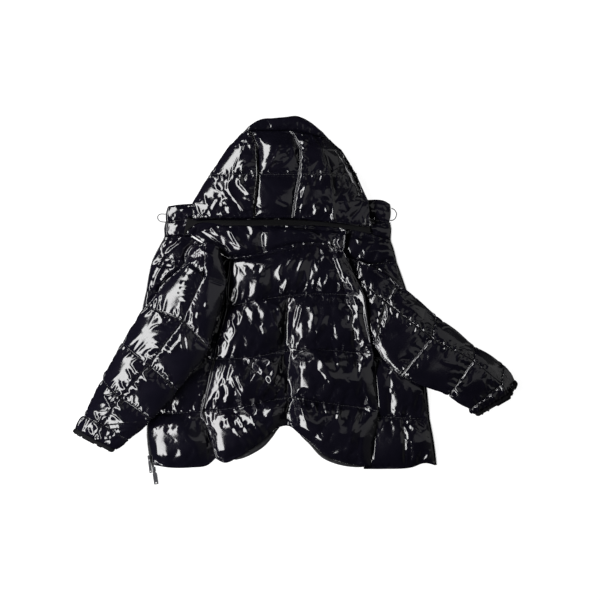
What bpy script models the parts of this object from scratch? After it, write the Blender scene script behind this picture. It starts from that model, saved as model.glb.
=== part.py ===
"""Hooded puffer jacket, laid down flat and open with its outer side up.

The jacket lies face down: the back is in the middle, the two fronts spread out beside it, the
sleeves lie over the fronts and the hood is laid out above the collar. The zip is open, and both
sliders of the two-way zip are parked at the bottom of the left-hand edge.

+X runs to the right along the hem, +Y from the hem to the hood, +Z up from the surface that
the jacket lies on. All tables are in millimetres.
"""
import math
from collections import namedtuple

import bpy
import bmesh
import numpy as np
from mathutils import Matrix, Vector
from mathutils.bvhtree import BVHTree

MM = 0.001

# ---------------------------------------------------------------- driving dimensions, mm
SEAM_GAP = 0.3          # between two pieces at a seam, and between layers
SEAM_INSET = 0.25       # each panel stops this far short of its seam line
SEAM_THICK = 7.0        # a panel's thickness where it is stitched through
THIN = 3.0              # least thickness of a padded wall
LAYER_GAP = 0.4         # a layer's underside above the layer below
LAYER_REACH = 11.0      # how far round a point a layer feels the one below it
FACET_REACH = 3.0       # how far round a sample of a facet has to be clear
FACET_SAMPLES = 6       # samples along each side of a facet
CLEARING_PASSES = 6
TENT_PASSES = 4         # how far a layer bridges the step down from the one below
PUCKER_DEPTH = 1.6      # gathers beside a line of quilting
EDGE_ROUNDNESS = 4.0    # how square a panel's loft is across its width
SLEEVE_WALL = 11.0
HOOD_WALL = 12.0
HOOD_RETURN = 0.42      # share of a hood side that is turned under to the face opening
CUFF_WIDTH = 11.0
CUFF_WALL = 4.0
TAPE_WIDTH = 6.0
TAPE_THICK = 1.2
TAPE_TAIL = (4.0, -22.0, 0.0)  # the left tape runs on past the hem, folded out
FLAP_THICK = 2.4
WALL_SHARE = 0.22       # the most of a tube's standing height that one wall of it takes
FACING_THICK = 3.0
CORD_DIAMETER = 2.6
SLIDER_SIZE = (8.0, 12.0, 3.6)
PULL_THICK = 1.6
SLIDER_ROUND = 0.8
PIVOT_ABOVE_SLIDER = 1.5
PIVOT_FORWARD = -2.5    # the pull's pivot ahead of the slider's middle
CROWN_WIDTH = 2.2
CROWN_BAR = 1.1
CROWN_TUNNEL = 4.4
CROWN_SINK = 0.8
EYE_WIDTH = 3.2
EYE_LENGTH = 4.4
EYE_RIM = 1.1
TIP_ROUND = 1.2
PULL_CLEAR = 0.35       # a pull's tip above the surface

# ---------------------------------------------------------------- the cut, as it lies, mm
# A line of quilting runs across a panel through its points. Loft is how far the padding
# stands above the stitching, at the line's start, middle and end, down to the next stitched
# line. A line that isn't stitched only shapes the outline.
Line = namedtuple("Line", "points loft stitched", defaults=((0, 0, 0), True))
# A crease is a trough pressed into the padding along its points.
Crease = namedtuple("Crease", "points width depth")
# One station down a tube or a hood side: the fold at its edge, its seam, and the height there.
Station = namedtuple("Station", "fold seam height loft stitched", defaults=(0, True))

FRONT_LEFT = (
    Line(((-351, 174), (-318, 175), (-284, 174)), (16, 16, 10)),
    Line(((-380, 108), (-290, 106), (-176, 112)), (20, 15, 8)),
    Line(((-402, 26), (-300, 8), (-186, -18)), (14, 10, 8)),
    Line(((-416, -110), (-320, -130), (-222, -160)), (12, 10, 12)),
    Line(((-399, -310), (-330, -306), (-252, -300)), (30, 34, 24)),
    Line(((-383, -446), (-352, -452), (-283, -453), (-236, -446), (-216, -428))),
)
FRONT_RIGHT = (
    Line(((138, 185), (202, 174), (256, 166)), (8, 18, 20)),
    Line(((108, 131), (200, 100), (274, 104)), (6, 14, 18)),
    Line(((160, -8), (250, -16), (314, -20)), (6, 12, 12)),
    Line(((188, -150), (270, -160), (343, -160)), (2, 16, 22)),
    Line(((203, -315), (290, -318), (362, -322)), (2, 24, 30)),
    Line(((186, -456), (240, -456), (318, -452), (352, -441), (381, -447))),
)
YOKE_SEAM = ((-176, 112), (-86, 126), (-14, 142), (68, 153), (132, 131))
YOKE = (
    Line(((-284, 174), (-254, 184), (-189, 197), (-14, 200), (135, 191)), (16, 22, 18)),
    Line(YOKE_SEAM),
)
BACK = (
    Line(YOKE_SEAM, (30, 32, 34)),
    Line(((-186, -18), (-122, -4), (-27, 12), (81, 18), (189, 12)), (34, 34, 36)),
    Line(((-222, -160), (-127, -155), (-27, -139), (68, -134), (213, -147)), (36, 38, 42)),
    Line(((-252, -300), (-154, -290), (-19, -266), (94, -279), (227, -298)), (38, 36, 44)),
    Line((
        (-216, -428), (-192, -440), (-152, -424), (-118, -402), (-92, -384), (-70, -364),
        (-48, -346), (-19, -340), (14, -364), (40, -383), (81, -420), (122, -437),
        (162, -446), (205, -450),
    )),
)
COLLAR = (
    Line(((-346, 252), (-275, 261), (-40, 263), (192, 271), (259, 258)), (14, 5, 14)),
    Line(((-350, 212), (-275, 222), (-40, 226), (192, 222), (256, 212)), (14, 4, 14)),
    Line((
        (-351, 175.4), (-318, 176.4), (-284, 175.6), (-254, 185.6), (-189, 198.6),
        (-14, 201.8), (136, 192.8), (202, 175.6), (256, 167.6),
    )),
)
FLAP = (
    Line(((-291, 226), (-276, 219), (-216, 218), (-148, 218), (14, 218), (54, 215), (135, 206),
          (204, 198))),
    Line(((-302, 174), (-254, 184), (-189, 197), (-100, 200), (14, 201), (54, 200), (135, 191),
          (205, 175))),
)

# Facing slivers below the hem: from x, to x, and how far they show.
FACINGS = {"left": (-160, -48, 11), "right": (20, 196, 6)}

BACK_CREASES = (
    Crease(((-14, 0), (-22, -140), (-17, -345)), 20, 30),
    Crease(((-40, -120), (-20, -190), (-19, -266)), 34, 12),
    Crease(((-148, -161), (-89, -207), (-46, -250)), 11, 14),
    Crease(((-70, 70), (-40, 20), (-30, -30)), 16, 7),
    Crease(((60, 110), (20, 40), (8, 0)), 14, 6),
    Crease(((-120, -180), (-160, -290), (-150, -330)), 16, 7),
    Crease(((60, -300), (90, -360), (120, -410)), 14, 6),
)
YOKE_CREASES = (
    Crease(((-94, 177), (-86, 126)), 8, 8),
    Crease(((-14, 200), (54, 186), (130, 140)), 9, 7),
)
FRONT_LEFT_CREASES = (
    Crease(((-352, 150), (-300, 60)), 10, 5),
    Crease(((-390, 70), (-330, 150)), 9, 5),
)
FRONT_RIGHT_CREASES = (
    Crease(((294, -315), (297, -450)), 8, 9),
    Crease(((258, -240), (262, -310)), 12, 6),
)

SLEEVE_LEFT_OUTER = (
    Station((-276, 145), (-240, 160), 24, 18),
    Station((-296, 97), (-246, 61), 52, 24),
    Station((-400, -15), (-300, -53), 54, 28),
    Station((-465, -115), (-392, -174), 50, 25),
    Station((-519, -215), (-470, -261), 46, 21),
    Station((-568, -312), (-518, -333), 41, 15),
    Station((-593, -345), (-544, -371), 38),
)
SLEEVE_LEFT_INNER = (
    Station((-205, 147), (-240, 160), 24, 18),
    Station((-186, 45), (-246, 61), 52, 24),
    Station((-230, -128), (-300, -53), 54, 28),
    Station((-316, -239), (-392, -174), 50, 25),
    Station((-386, -317), (-470, -261), 46, 21),
    Station((-451, -374), (-518, -333), 41, 15),
    Station((-487, -401), (-544, -371), 38),
)
SLEEVE_RIGHT_OUTER = (
    Station((170, 110), (164, 60), 22, 12),
    Station((276, 45), (246, -4), 48, 24),
    Station((380, -42), (367, -101), 52, 26),
    Station((485, -126), (478, -161), 48, 23),
    Station((562, -174), (556, -225), 42, 17),
    Station((594, -215), (572, -254), 38),
)
SLEEVE_RIGHT_INNER = (
    Station((166, 8), (164, 60), 22, 12),
    Station((216, -122), (246, -4), 48, 24),
    Station((284, -202), (367, -101), 52, 26),
    Station((416, -252), (478, -161), 48, 23),
    Station((473, -292), (556, -225), 42, 17),
    Station((486, -304), (572, -254), 38),
)

HOOD_LEFT = (
    Station((-275, 222), (-111, 224), 34, 14),
    Station((-272, 263), (-111, 263), 44, 0, False),
    Station((-229, 339), (-103, 339), 48, 20),
    Station((-172, 420), (-106, 415), 40, 0, False),
    Station((-142, 454), (-122, 457), 22),
)
HOOD_RIGHT = (
    Station((205, 202), (-5, 224), 34, 14),
    Station((192, 268), (0, 263), 44, 0, False),
    Station((166, 339), (14, 339), 48, 20),
    Station((121, 407), (18, 410), 40, 0, False),
    Station((92, 437), (-8, 457), 22),
)
BRIM_THICK = 13.0
BRIM = (
    Line(((-142, 454), (-122, 457.5), (-65, 457.4), (-8, 458.4), (42, 447), (92, 437)), (5, 7, 5)),
    Line(((-128, 470), (-108, 485), (-89, 493), (8, 500), (22, 495), (40, 485), (76, 456))),
)

# Collar cord loops: where the cord lies between its two eyelets, and its height there.
CORD_LEFT = (
    (-351.0, 234, 4.0), (-357, 234.5, 3.6), (-364, 234.5, 2.8), (-370, 232, 2.2), (-373, 226, 2.0),
    (-371, 219, 2.0), (-365, 214.5, 2.4), (-358, 213, 3.2), (-350.8, 213, 4.0),
)
CORD_RIGHT = (
    (261.5, 250, 4.0), (267, 248, 3.2), (272, 243, 2.4), (275, 236, 2.0), (274, 228, 2.0),
    (270, 221, 2.4), (264, 217.5, 3.2), (258, 217, 4.0),
)

# The two sliders of the zip: middle of the body, where the pull's tip points, and the tab.
Slider = namedtuple("Slider", "name middle tip length width")
SLIDERS = (
    Slider("upper", (-396, -426), (-391, -473), 40, 7.0),
    Slider("lower", (-382, -457), (-376, -500), 40, 12.0),
)

# Across a tube from its top seam round the fold to its lower seam: share of the width out
# from the fold, and share of the height.
TUBE_PROFILE = (
    (1.0, 1.0), (0.86, 1.0), (0.72, 1.0), (0.58, 1.0), (0.44, 0.98), (0.31, 0.95), (0.19, 0.88),
    (0.08, 0.73), (0.0, 0.5), (0.03, 0.25), (0.12, 0.08), (0.28, 0.0), (0.62, 0.0), (1.0, 0.0),
)
TUBE_TOP = 7            # points of the profile that are on the upper side
STEPS_BETWEEN_LINES = 4
STEPS_BETWEEN_STATIONS = 4
FRONT_COLUMNS = 12
COLLAR_COLUMNS = 22
YOKE_COLUMNS = 24
BACK_COLUMNS = 28
FLAP_COLUMNS = 20
BRIM_COLUMNS = 10
CROWN_COLUMNS = 6

SOLIDS = {}     # name: (vertices, faces) of each finished piece, in metres


# ---------------------------------------------------------------- scene and materials

def clear_scene():
    for item in list(bpy.data.objects):
        bpy.data.objects.remove(item, do_unlink=True)


def material(name, colour, roughness, metallic=0.0):
    made = bpy.data.materials.new(name)
    made.use_nodes = True
    shader = made.node_tree.nodes["Principled BSDF"]
    shader.inputs["Base Color"].default_value = (*colour, 1.0)
    shader.inputs["Roughness"].default_value = roughness
    shader.inputs["Metallic"].default_value = metallic
    return made


def finish(name, mesh, surface):
    """An object in the scene with its own material, and its points kept for what lies on it."""
    item = bpy.data.objects.new(name, mesh)
    bpy.context.collection.objects.link(item)
    mesh.materials.append(surface)
    mesh.shade_smooth()
    mesh.set_sharp_from_angle(angle=math.radians(50))
    points = [item.matrix_world @ v.co for v in mesh.vertices]
    SOLIDS[name] = (points, [tuple(p.vertices) for p in mesh.polygons])
    return item


# ---------------------------------------------------------------- walls

def wall(name, outer, inner, surface):
    """A closed wall between two grids of points in mm that have the same rows and columns."""
    rows, columns = outer.shape[:2]
    points = np.concatenate([outer.reshape(-1, 3), inner.reshape(-1, 3)]) * MM
    back = rows * columns

    def at(row, column, side):
        return side * back + row * columns + column

    faces = []
    for i in range(rows - 1):
        for j in range(columns - 1):
            for side in (0, 1):
                face = [at(i, j, side), at(i, j + 1, side),
                        at(i + 1, j + 1, side), at(i + 1, j, side)]
                faces.append(face if side else face[::-1])
    rim = [(0, j) for j in range(columns)] + [(i, columns - 1) for i in range(1, rows)]
    rim += [(rows - 1, j) for j in range(columns - 2, -1, -1)]
    rim += [(i, 0) for i in range(rows - 2, 0, -1)]
    for here, there in zip(rim, rim[1:] + rim[:1]):
        faces.append([at(*here, 0), at(*there, 0), at(*there, 1), at(*here, 1)])
    mesh = bpy.data.meshes.new(name)
    mesh.from_pydata([tuple(p) for p in points], [], faces)
    shell = bmesh.new()
    shell.from_mesh(mesh)
    bmesh.ops.recalc_face_normals(shell, faces=shell.faces)
    shell.to_mesh(mesh)
    shell.free()
    return finish(name, mesh, surface)


def along(points, fractions):
    """Points at fractions of a line's length, on a smooth curve through its points."""
    line = np.array(points, float)
    run = np.concatenate([[0.0], np.cumsum(np.linalg.norm(np.diff(line, axis=0), axis=1))])
    run /= run[-1]
    tangent = np.gradient(line, run, axis=0)
    found = []
    for fraction in fractions:
        k = int(np.clip(np.searchsorted(run, fraction, side="right") - 1, 0, len(run) - 2))
        width = run[k + 1] - run[k]
        s = (fraction - run[k]) / width
        found.append(
            (2 * s**3 - 3 * s**2 + 1) * line[k] + (s**3 - 2 * s**2 + s) * width * tangent[k]
            + (3 * s**2 - 2 * s**3) * line[k + 1] + (s**3 - s**2) * width * tangent[k + 1]
        )
    return np.array(found)


def between(rows, steps):
    """Each row of a wall: the line above it, how far on to the next, and how far on between
    the two stitched lines, the index of the upper one of them included."""
    stitched = [k for k, row in enumerate(rows) if row.stitched]
    found = []
    for k in range(len(rows) - 1):
        upper = max(s for s in stitched if s <= k)
        lower = min(s for s in stitched if s > k)
        for step in range(steps):
            t = step / steps
            found.append((k, t, (k + t - upper) / (lower - upper), upper))
    found.append((len(rows) - 2, 1.0, 1.0, max(s for s in stitched if s < len(rows) - 1)))
    return found


def inset(plan):
    """A panel's plan, stopped short of its seam lines on all four sides."""
    plan = plan.copy()
    for edge, inward in (
        (plan[:, 0], plan[:, 1] - plan[:, 0]), (plan[:, -1], plan[:, -2] - plan[:, -1]),
        (plan[0], plan[1] - plan[0]), (plan[-1], plan[-2] - plan[-1]),
    ):
        edge += inward / np.linalg.norm(inward, axis=1, keepdims=True) * SEAM_INSET
    return plan


def ground_of(names, reach):
    """How high the named pieces reach at and just round a place, in mm, or 0 beside them."""
    trees = [BVHTree.FromPolygons(*SOLIDS[name]) for name in names]
    spots = [(0.0, 0.0)] + [
        (share * reach * math.cos(turn), share * reach * math.sin(turn))
        for share in (0.5, 1.0) for turn in np.linspace(0, 2 * math.pi, 8, endpoint=False)
    ]

    def height(x, y):
        top = 0.0
        for dx, dy in spots:
            start = Vector(((x + dx) * MM, (y + dy) * MM, 1.0))
            for tree in trees:
                hit = tree.ray_cast(start, Vector((0, 0, -1)))[0]
                if hit:
                    top = max(top, hit.z / MM + LAYER_GAP)
        return top

    return height


def facet_height(corners, a, b):
    """The lower of the two heights that a four-cornered facet can have at a place on it,
    according to which way it is divided into triangles."""
    (z00, z01), (z10, z11) = corners
    if a > b:
        one = z00 + a * (z10 - z00) + b * (z11 - z10)
    else:
        one = z00 + b * (z01 - z00) + a * (z11 - z01)
    if a + b < 1:
        other = z00 + a * (z10 - z00) + b * (z01 - z00)
    else:
        other = z11 + (1 - a) * (z01 - z11) + (1 - b) * (z10 - z11)
    return min(one, other)


def laid_over(plan, names):
    """Heights of a layer's underside over the pieces below it: it bridges their steps, and
    every facet of it is raised until it clears them."""
    low = np.zeros(plan.shape[:2])
    if not names:
        return low
    height = ground_of(names, LAYER_REACH)
    rest = np.array([[height(*point) for point in row] for row in plan])
    low = rest.copy()
    for _ in range(TENT_PASSES):
        padded = np.pad(low, 1, mode="edge")
        mean = (padded[:-2, 1:-1] + padded[2:, 1:-1] + padded[1:-1, :-2] + padded[1:-1, 2:]) / 4
        low = np.where(low > 0, np.maximum(rest, mean), rest)
    height = ground_of(names, FACET_REACH)
    shares = np.linspace(0, 1, FACET_SAMPLES)
    for _ in range(CLEARING_PASSES):
        raised = low.copy()
        for i in range(plan.shape[0] - 1):
            for j in range(plan.shape[1] - 1):
                corners = plan[i:i + 2, j:j + 2]
                heights = low[i:i + 2, j:j + 2]
                short = 0.0
                for a in shares:
                    for b in shares:
                        weight = np.outer((1 - a, a), (1 - b, b))
                        spot = (corners * weight[..., None]).sum(axis=(0, 1))
                        short = max(short, height(*spot) - facet_height(heights, a, b))
                if short > 0.05:
                    cell = raised[i:i + 2, j:j + 2]
                    raised[i:i + 2, j:j + 2] = np.maximum(cell, heights + short)
        if (raised == low).all():
            break
        low = raised
    return low


def trough(plan, creases):
    """How deep the creases press in at each point of a plan."""
    depth = np.zeros(plan.shape[:2])
    for crease in creases:
        line = along(crease.points, np.linspace(0, 1, 16))
        away = np.linalg.norm(plan[:, :, None] - line[None, None], axis=3)
        nearest = away.argmin(axis=2)
        fade = np.sin(math.pi * (nearest + 2.5) / (len(line) + 4)) ** 0.5
        depth += crease.depth * fade * np.exp(-(away.min(axis=2) / crease.width) ** 2)
    return depth


def quilted(name, lines, columns, surface, over=(), bulge=(0, 0), creases=(), seam=SEAM_THICK,
            puckers=True):
    """A padded panel between its first and its last line, laid over the named pieces."""
    t = np.linspace(0, 1, columns + 1)
    u = t - 0.5 * np.sin(2 * math.pi * t) / (2 * math.pi)
    drawn = [along(line.points, u) for line in lines]
    rows = between(lines, STEPS_BETWEEN_LINES)
    plan, loft, pinch = [], [], []
    square = np.sqrt(1 - np.abs(2 * u - 1) ** EDGE_ROUNDNESS)
    gathers = np.where(np.arange(columns + 1) % 2 == 1, 1.0, 0.0)
    for k, t, s, upper in rows:
        row = drawn[k] * (1 - t) + drawn[k + 1] * t
        arch = math.sin(math.pi * s)
        out = (row[-1] - row[0]) / np.linalg.norm(row[-1] - row[0])
        row = row - out * bulge[0] * arch * ((1 - u) ** 4)[:, None]
        row = row + out * bulge[1] * arch * (u ** 4)[:, None]
        plan.append(row)
        stands = np.interp(u, (0, 0.5, 1), lines[upper].loft)
        loft.append(stands * square * arch ** 0.6)
        pinch.append(gathers * PUCKER_DEPTH * (puckers and 0 < min(s, 1 - s) <= 0.3))
    plan = inset(np.array(plan))
    low = laid_over(plan, over)
    thick = seam + np.array(loft) - trough(plan, creases) - np.array(pinch)
    top = low + np.maximum(thick, THIN)
    return wall(name, np.dstack([plan, top]), np.dstack([plan, low]), surface)


def wrapped(name, stations, wall_thick, surface, over=(), under_share=1.0, bulge=8.0):
    """One half of a flattened tube: from its top seam out, round the fold and back under."""
    rows = between(stations, STEPS_BETWEEN_STATIONS)
    profile = [(out if up >= 0.5 else out * under_share, up) for out, up in TUBE_PROFILE]
    plan, inside, tops, lifts, beside = [], [], [], [], []
    for k, t, s, upper in rows:
        a, b = stations[k], stations[k + 1]
        fold = np.array(a.fold) * (1 - t) + np.array(b.fold) * t
        across = np.array(a.seam) * (1 - t) + np.array(b.seam) * t - fold
        width = np.linalg.norm(across) - SEAM_INSET
        across /= np.linalg.norm(across)
        arch = math.sin(math.pi * s) if s not in (0.0, 1.0) else 0.0
        thick = min(wall_thick, WALL_SHARE * width)
        plan.append([fold + across * (out * width - bulge * arch * (1 - out) ** 4)
                     for out, up in profile])
        inside.append([fold + across * (thick + out * (width - thick)) for out, up in profile])
        tops.append(a.height * (1 - t) + b.height * t)
        lifts.append(stations[upper].loft * arch ** 0.6)
        beside.append(0 < min(s, 1 - s) < 0.3)
    plan, inside = np.array(plan), np.array(inside)
    under = laid_over(plan, over)
    outer, inner = [], []
    for i in range(len(rows)):
        outer_row, inner_row = [], []
        for j, (out, up) in enumerate(profile):
            stands = tops[i] - under[i, j]
            thick = min(wall_thick, WALL_SHARE * stands)
            puff = math.sin(math.pi * out) ** 0.5 if j < TUBE_TOP else up * 0.5
            gather = PUCKER_DEPTH * (j % 2 and j < TUBE_TOP and beside[i])
            top = under[i, j] + up * stands + lifts[i] * puff - gather
            outer_row.append((*plan[i, j], top))
            inner_row.append((*inside[i, j], under[i, j] + thick + up * (stands - 2 * thick)))
        outer.append(outer_row)
        inner.append(inner_row)
    return wall(name, np.array(outer), np.array(inner), surface)


def strip_beside(name, edge, outward, width, thick, surface, height=0.0):
    """A flat strip just outside an edge: along its points, moved out, of the given widths."""
    edge, outward = np.array(edge, float)[:, :2], np.array(outward, float)
    near = edge + outward * SEAM_GAP
    far = edge + outward * (SEAM_GAP + np.broadcast_to(width, len(edge)))[:, None]
    plan = np.stack([near, far], axis=1)
    low = np.full(plan.shape[:2], height)
    return wall(name, np.dstack([plan, low + thick]), np.dstack([plan, low]), surface)


def edge_of(name, lines, columns, row=None, column=None):
    """The upper points of one row or one column of a quilted panel, in mm."""
    rows = STEPS_BETWEEN_LINES * (len(lines) - 1) + 1
    grid = np.array([tuple(p) for p in SOLIDS[name][0]])[: rows * (columns + 1)]
    grid = grid.reshape(rows, columns + 1, 3) / MM
    return grid[row] if column is None else grid[:, column]


def outward_of(edge, side):
    """Unit vectors across an edge, to its left (1) or its right (-1) as it runs."""
    run = np.gradient(np.array(edge)[:, :2], axis=0)
    run /= np.linalg.norm(run, axis=1, keepdims=True)
    return np.stack([-run[:, 1], run[:, 0]], axis=1) * side


def cuff(name, outer_half, inner_half, surface):
    """The elastic binding round a sleeve's end, a band made from the sleeve's last ring."""
    columns = len(TUBE_PROFILE)
    sections = []
    for half in (outer_half, inner_half):
        points = np.array([tuple(p) for p in SOLIDS[half][0]]).reshape(2, -1, columns, 3) / MM
        sections.append(points)
    outer, before, inner = (
        np.concatenate([sections[0][side, row], sections[1][side, row][::-1][1:-1]])
        for side, row in ((0, -1), (0, -2), (1, -1))
    )
    run = (outer - before).mean(axis=0)
    run[2] = 0
    run /= np.linalg.norm(run)
    depth = np.linalg.norm(inner - outer, axis=1, keepdims=True)
    inner = outer + (inner - outer) / depth * np.minimum(depth, CUFF_WALL)
    mesh = bpy.data.meshes.new(name)
    shell = bmesh.new()
    loops = [
        [shell.verts.new(point * MM) for point in ring + run * out]
        for ring, out in (
            (outer, SEAM_GAP), (outer, CUFF_WIDTH), (inner, CUFF_WIDTH), (inner, SEAM_GAP))
    ]
    for a, b in zip(loops, loops[1:] + loops[:1]):
        for k in range(len(a)):
            n = (k + 1) % len(a)
            shell.faces.new([a[k], a[n], b[n], b[k]])
    bmesh.ops.recalc_face_normals(shell, faces=shell.faces)
    shell.to_mesh(mesh)
    shell.free()
    return finish(name, mesh, surface)


# ---------------------------------------------------------------- zip hardware and cords

def box(name, size, centre=(0, 0, 0)):
    """A plain block, in mm, as an object that other shapes are joined to or cut from."""
    mesh = bpy.data.meshes.new(name)
    shell = bmesh.new()
    bmesh.ops.create_cube(shell, size=1.0)
    for vert in shell.verts:
        vert.co = Vector([(vert.co[k] * size[k] + centre[k]) * MM for k in range(3)])
    shell.to_mesh(mesh)
    shell.free()
    item = bpy.data.objects.new(name, mesh)
    bpy.context.collection.objects.link(item)
    return item


def combine(item, other, operation):
    """Join a shape to an item, or cut it out, and remove the shape."""
    step = item.modifiers.new(operation.lower(), "BOOLEAN")
    step.operation = operation
    step.solver = "EXACT"
    step.object = other
    graph = bpy.context.evaluated_depsgraph_get()
    mesh = bpy.data.meshes.new_from_object(item.evaluated_get(graph))
    item.modifiers.remove(step)
    item.data = mesh
    bpy.data.objects.remove(other, do_unlink=True)


def place(item, at, turn, tilt=0.0):
    """Set a hardware piece down at a point in mm, turned in plan and tilted about its X."""
    frame = Matrix.Translation(Vector(at) * MM) @ Matrix.Rotation(turn, 4, "Z")
    item.matrix_world = frame @ Matrix.Rotation(tilt, 4, "X")
    bpy.context.view_layer.update()


def slider(name, at, turn, surface):
    """A zip slider: its body, and the crown above it that the pull hangs in."""
    height = SLIDER_SIZE[2]
    tunnel = 2 * PIVOT_ABOVE_SLIDER
    item = box(name, SLIDER_SIZE, (0, 0, height / 2))
    bevel = item.modifiers.new("rounding", "BEVEL")
    bevel.width = SLIDER_ROUND * MM
    bevel.segments = 2
    crown_height = tunnel + CROWN_BAR + CROWN_SINK
    crown = box("crown", (CROWN_WIDTH, CROWN_TUNNEL + 2 * CROWN_BAR, crown_height),
                (0, PIVOT_FORWARD, height - CROWN_SINK + crown_height / 2))
    tunnel_centre = (0, PIVOT_FORWARD, height + tunnel / 2)
    combine(crown, box("tunnel", (2 * CROWN_WIDTH, CROWN_TUNNEL, tunnel), tunnel_centre),
            "DIFFERENCE")
    combine(item, crown, "UNION")
    item.modifiers.clear()
    place(item, at, turn)
    return finish_placed(item, surface)


def finish_placed(item, surface):
    item.data.materials.append(surface)
    item.data.shade_smooth()
    item.data.set_sharp_from_angle(angle=math.radians(40))
    return item


def pull(name, at, turn, tilt, length, width, surface):
    """A zip pull: a flat tab with an eye for the slider's crown and a hole near its tip. Its
    origin is on the eye's crossbar, which turns under the crown."""
    mesh = bpy.data.meshes.new(name)
    shell = bmesh.new()
    half, neck, waist = PULL_THICK / 2, EYE_WIDTH / 2 + EYE_RIM, EYE_LENGTH + 2.2
    right = [(neck, half), (neck + 0.3, -waist), (width / 2, -waist - 3.5),
             (width / 2, -length + TIP_ROUND), (width / 2 - TIP_ROUND, -length)]
    outline = right + [(-x, y) for x, y in reversed(right)]
    loops = [[shell.verts.new(Vector((x, y, z)) * MM) for x, y in outline]
             for z in (-half, half)]
    shell.faces.new(loops[0])
    shell.faces.new(loops[1][::-1])
    for k in range(len(outline)):
        n = (k + 1) % len(outline)
        shell.faces.new([loops[0][k], loops[1][k], loops[1][n], loops[0][n]])
    bmesh.ops.recalc_face_normals(shell, faces=shell.faces)
    shell.to_mesh(mesh)
    shell.free()
    item = bpy.data.objects.new(name, mesh)
    bpy.context.collection.objects.link(item)
    deep = 4 * PULL_THICK
    eye = (EYE_WIDTH, EYE_LENGTH, deep)
    combine(item, box("eye", eye, (0, -half - EYE_LENGTH / 2, 0)), "DIFFERENCE")
    combine(item, box("hole", (0.35 * width, 3.4, deep), (0, 4.2 - length, 0)), "DIFFERENCE")
    place(item, at, turn, tilt)
    return finish_placed(item, surface)


def cord(name, route, surface):
    """A thin elastic loop along a smooth curve through its route."""
    points = along(route, np.linspace(0, 1, 24))
    line = bpy.data.curves.new(name, "CURVE")
    line.dimensions = "3D"
    line.bevel_depth = CORD_DIAMETER / 2 * MM
    line.bevel_resolution = 2
    line.use_fill_caps = True
    spline = line.splines.new("POLY")
    spline.points.add(len(points) - 1)
    for spot, point in zip(spline.points, points):
        spot.co = (*(point * MM), 1.0)
    line.materials.append(surface)
    item = bpy.data.objects.new(name, line)
    bpy.context.collection.objects.link(item)
    return item


# ---------------------------------------------------------------- the jacket

def fronts_and_collar(nylon):
    quilted("front_left", FRONT_LEFT, FRONT_COLUMNS, nylon("front_left"),
            creases=FRONT_LEFT_CREASES, bulge=(8, 0))
    quilted("front_right", FRONT_RIGHT, FRONT_COLUMNS, nylon("front_right"),
            creases=FRONT_RIGHT_CREASES, bulge=(0, 6))
    quilted("collar", COLLAR, COLLAR_COLUMNS, nylon("collar"), bulge=(3, 3))


def sleeve(side, halves, over, nylon):
    for part, stations in zip(("outer", "inner"), halves):
        name = f"sleeve_{side}_{part}"
        wrapped(name, stations, SLEEVE_WALL, nylon(name), over=over)
    cuff(f"cuff_{side}", f"sleeve_{side}_outer", f"sleeve_{side}_inner", nylon(f"cuff_{side}"))


def back_and_sleeves(nylon):
    """The right sleeve comes out from under the back, and the left one lies on the yoke."""
    sleeve("right", (SLEEVE_RIGHT_OUTER, SLEEVE_RIGHT_INNER), ("front_right",), nylon)
    under = ("front_right", "sleeve_right_outer", "sleeve_right_inner")
    quilted("back_yoke", YOKE, YOKE_COLUMNS, nylon("back_yoke"), over=under,
            creases=YOKE_CREASES)
    quilted("back", BACK, BACK_COLUMNS, nylon("back"), over=under, creases=BACK_CREASES)
    sleeve("left", (SLEEVE_LEFT_OUTER, SLEEVE_LEFT_INNER), ("front_left", "back_yoke"), nylon)


def hood(nylon):
    """The hood's sides turn under to the face opening, and the crown bridges them."""
    for side, stations in (("left", HOOD_LEFT), ("right", HOOD_RIGHT)):
        name = f"hood_side_{side}"
        wrapped(name, stations, HOOD_WALL, nylon(name), over=("collar",), under_share=HOOD_RETURN)
    crown_outer, crown_inner = [], []
    shares = np.linspace(0, 1, CROWN_COLUMNS + 1)
    for k, t, s, upper in between(HOOD_LEFT, STEPS_BETWEEN_STATIONS):
        rows = []
        for stations in (HOOD_LEFT, HOOD_RIGHT):
            seam = np.array(stations[k].seam) * (1 - t) + np.array(stations[k + 1].seam) * t
            rows.append(seam)
        run = rows[1] - rows[0]
        length = np.linalg.norm(run)
        top = HOOD_LEFT[k].height * (1 - t) + HOOD_LEFT[k + 1].height * t
        arch = math.sin(math.pi * s) if s not in (0.0, 1.0) else 0.0
        lift = HOOD_LEFT[upper].loft * arch ** 0.6
        outer_row, inner_row = [], []
        for share in shares:
            inset_share = SEAM_GAP / length + share * (1 - 2 * SEAM_GAP / length)
            spot = rows[0] + run * inset_share
            outer_row.append((*spot, top + lift * math.sin(math.pi * share) ** 0.5))
            inner_row.append((*spot, top - HOOD_WALL))
        crown_outer.append(outer_row)
        crown_inner.append(inner_row)
    wall("hood_crown", np.array(crown_outer), np.array(crown_inner), nylon("hood_crown"))
    quilted("hood_brim", BRIM, BRIM_COLUMNS, nylon("hood_brim"), seam=BRIM_THICK, puckers=False)


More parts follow.
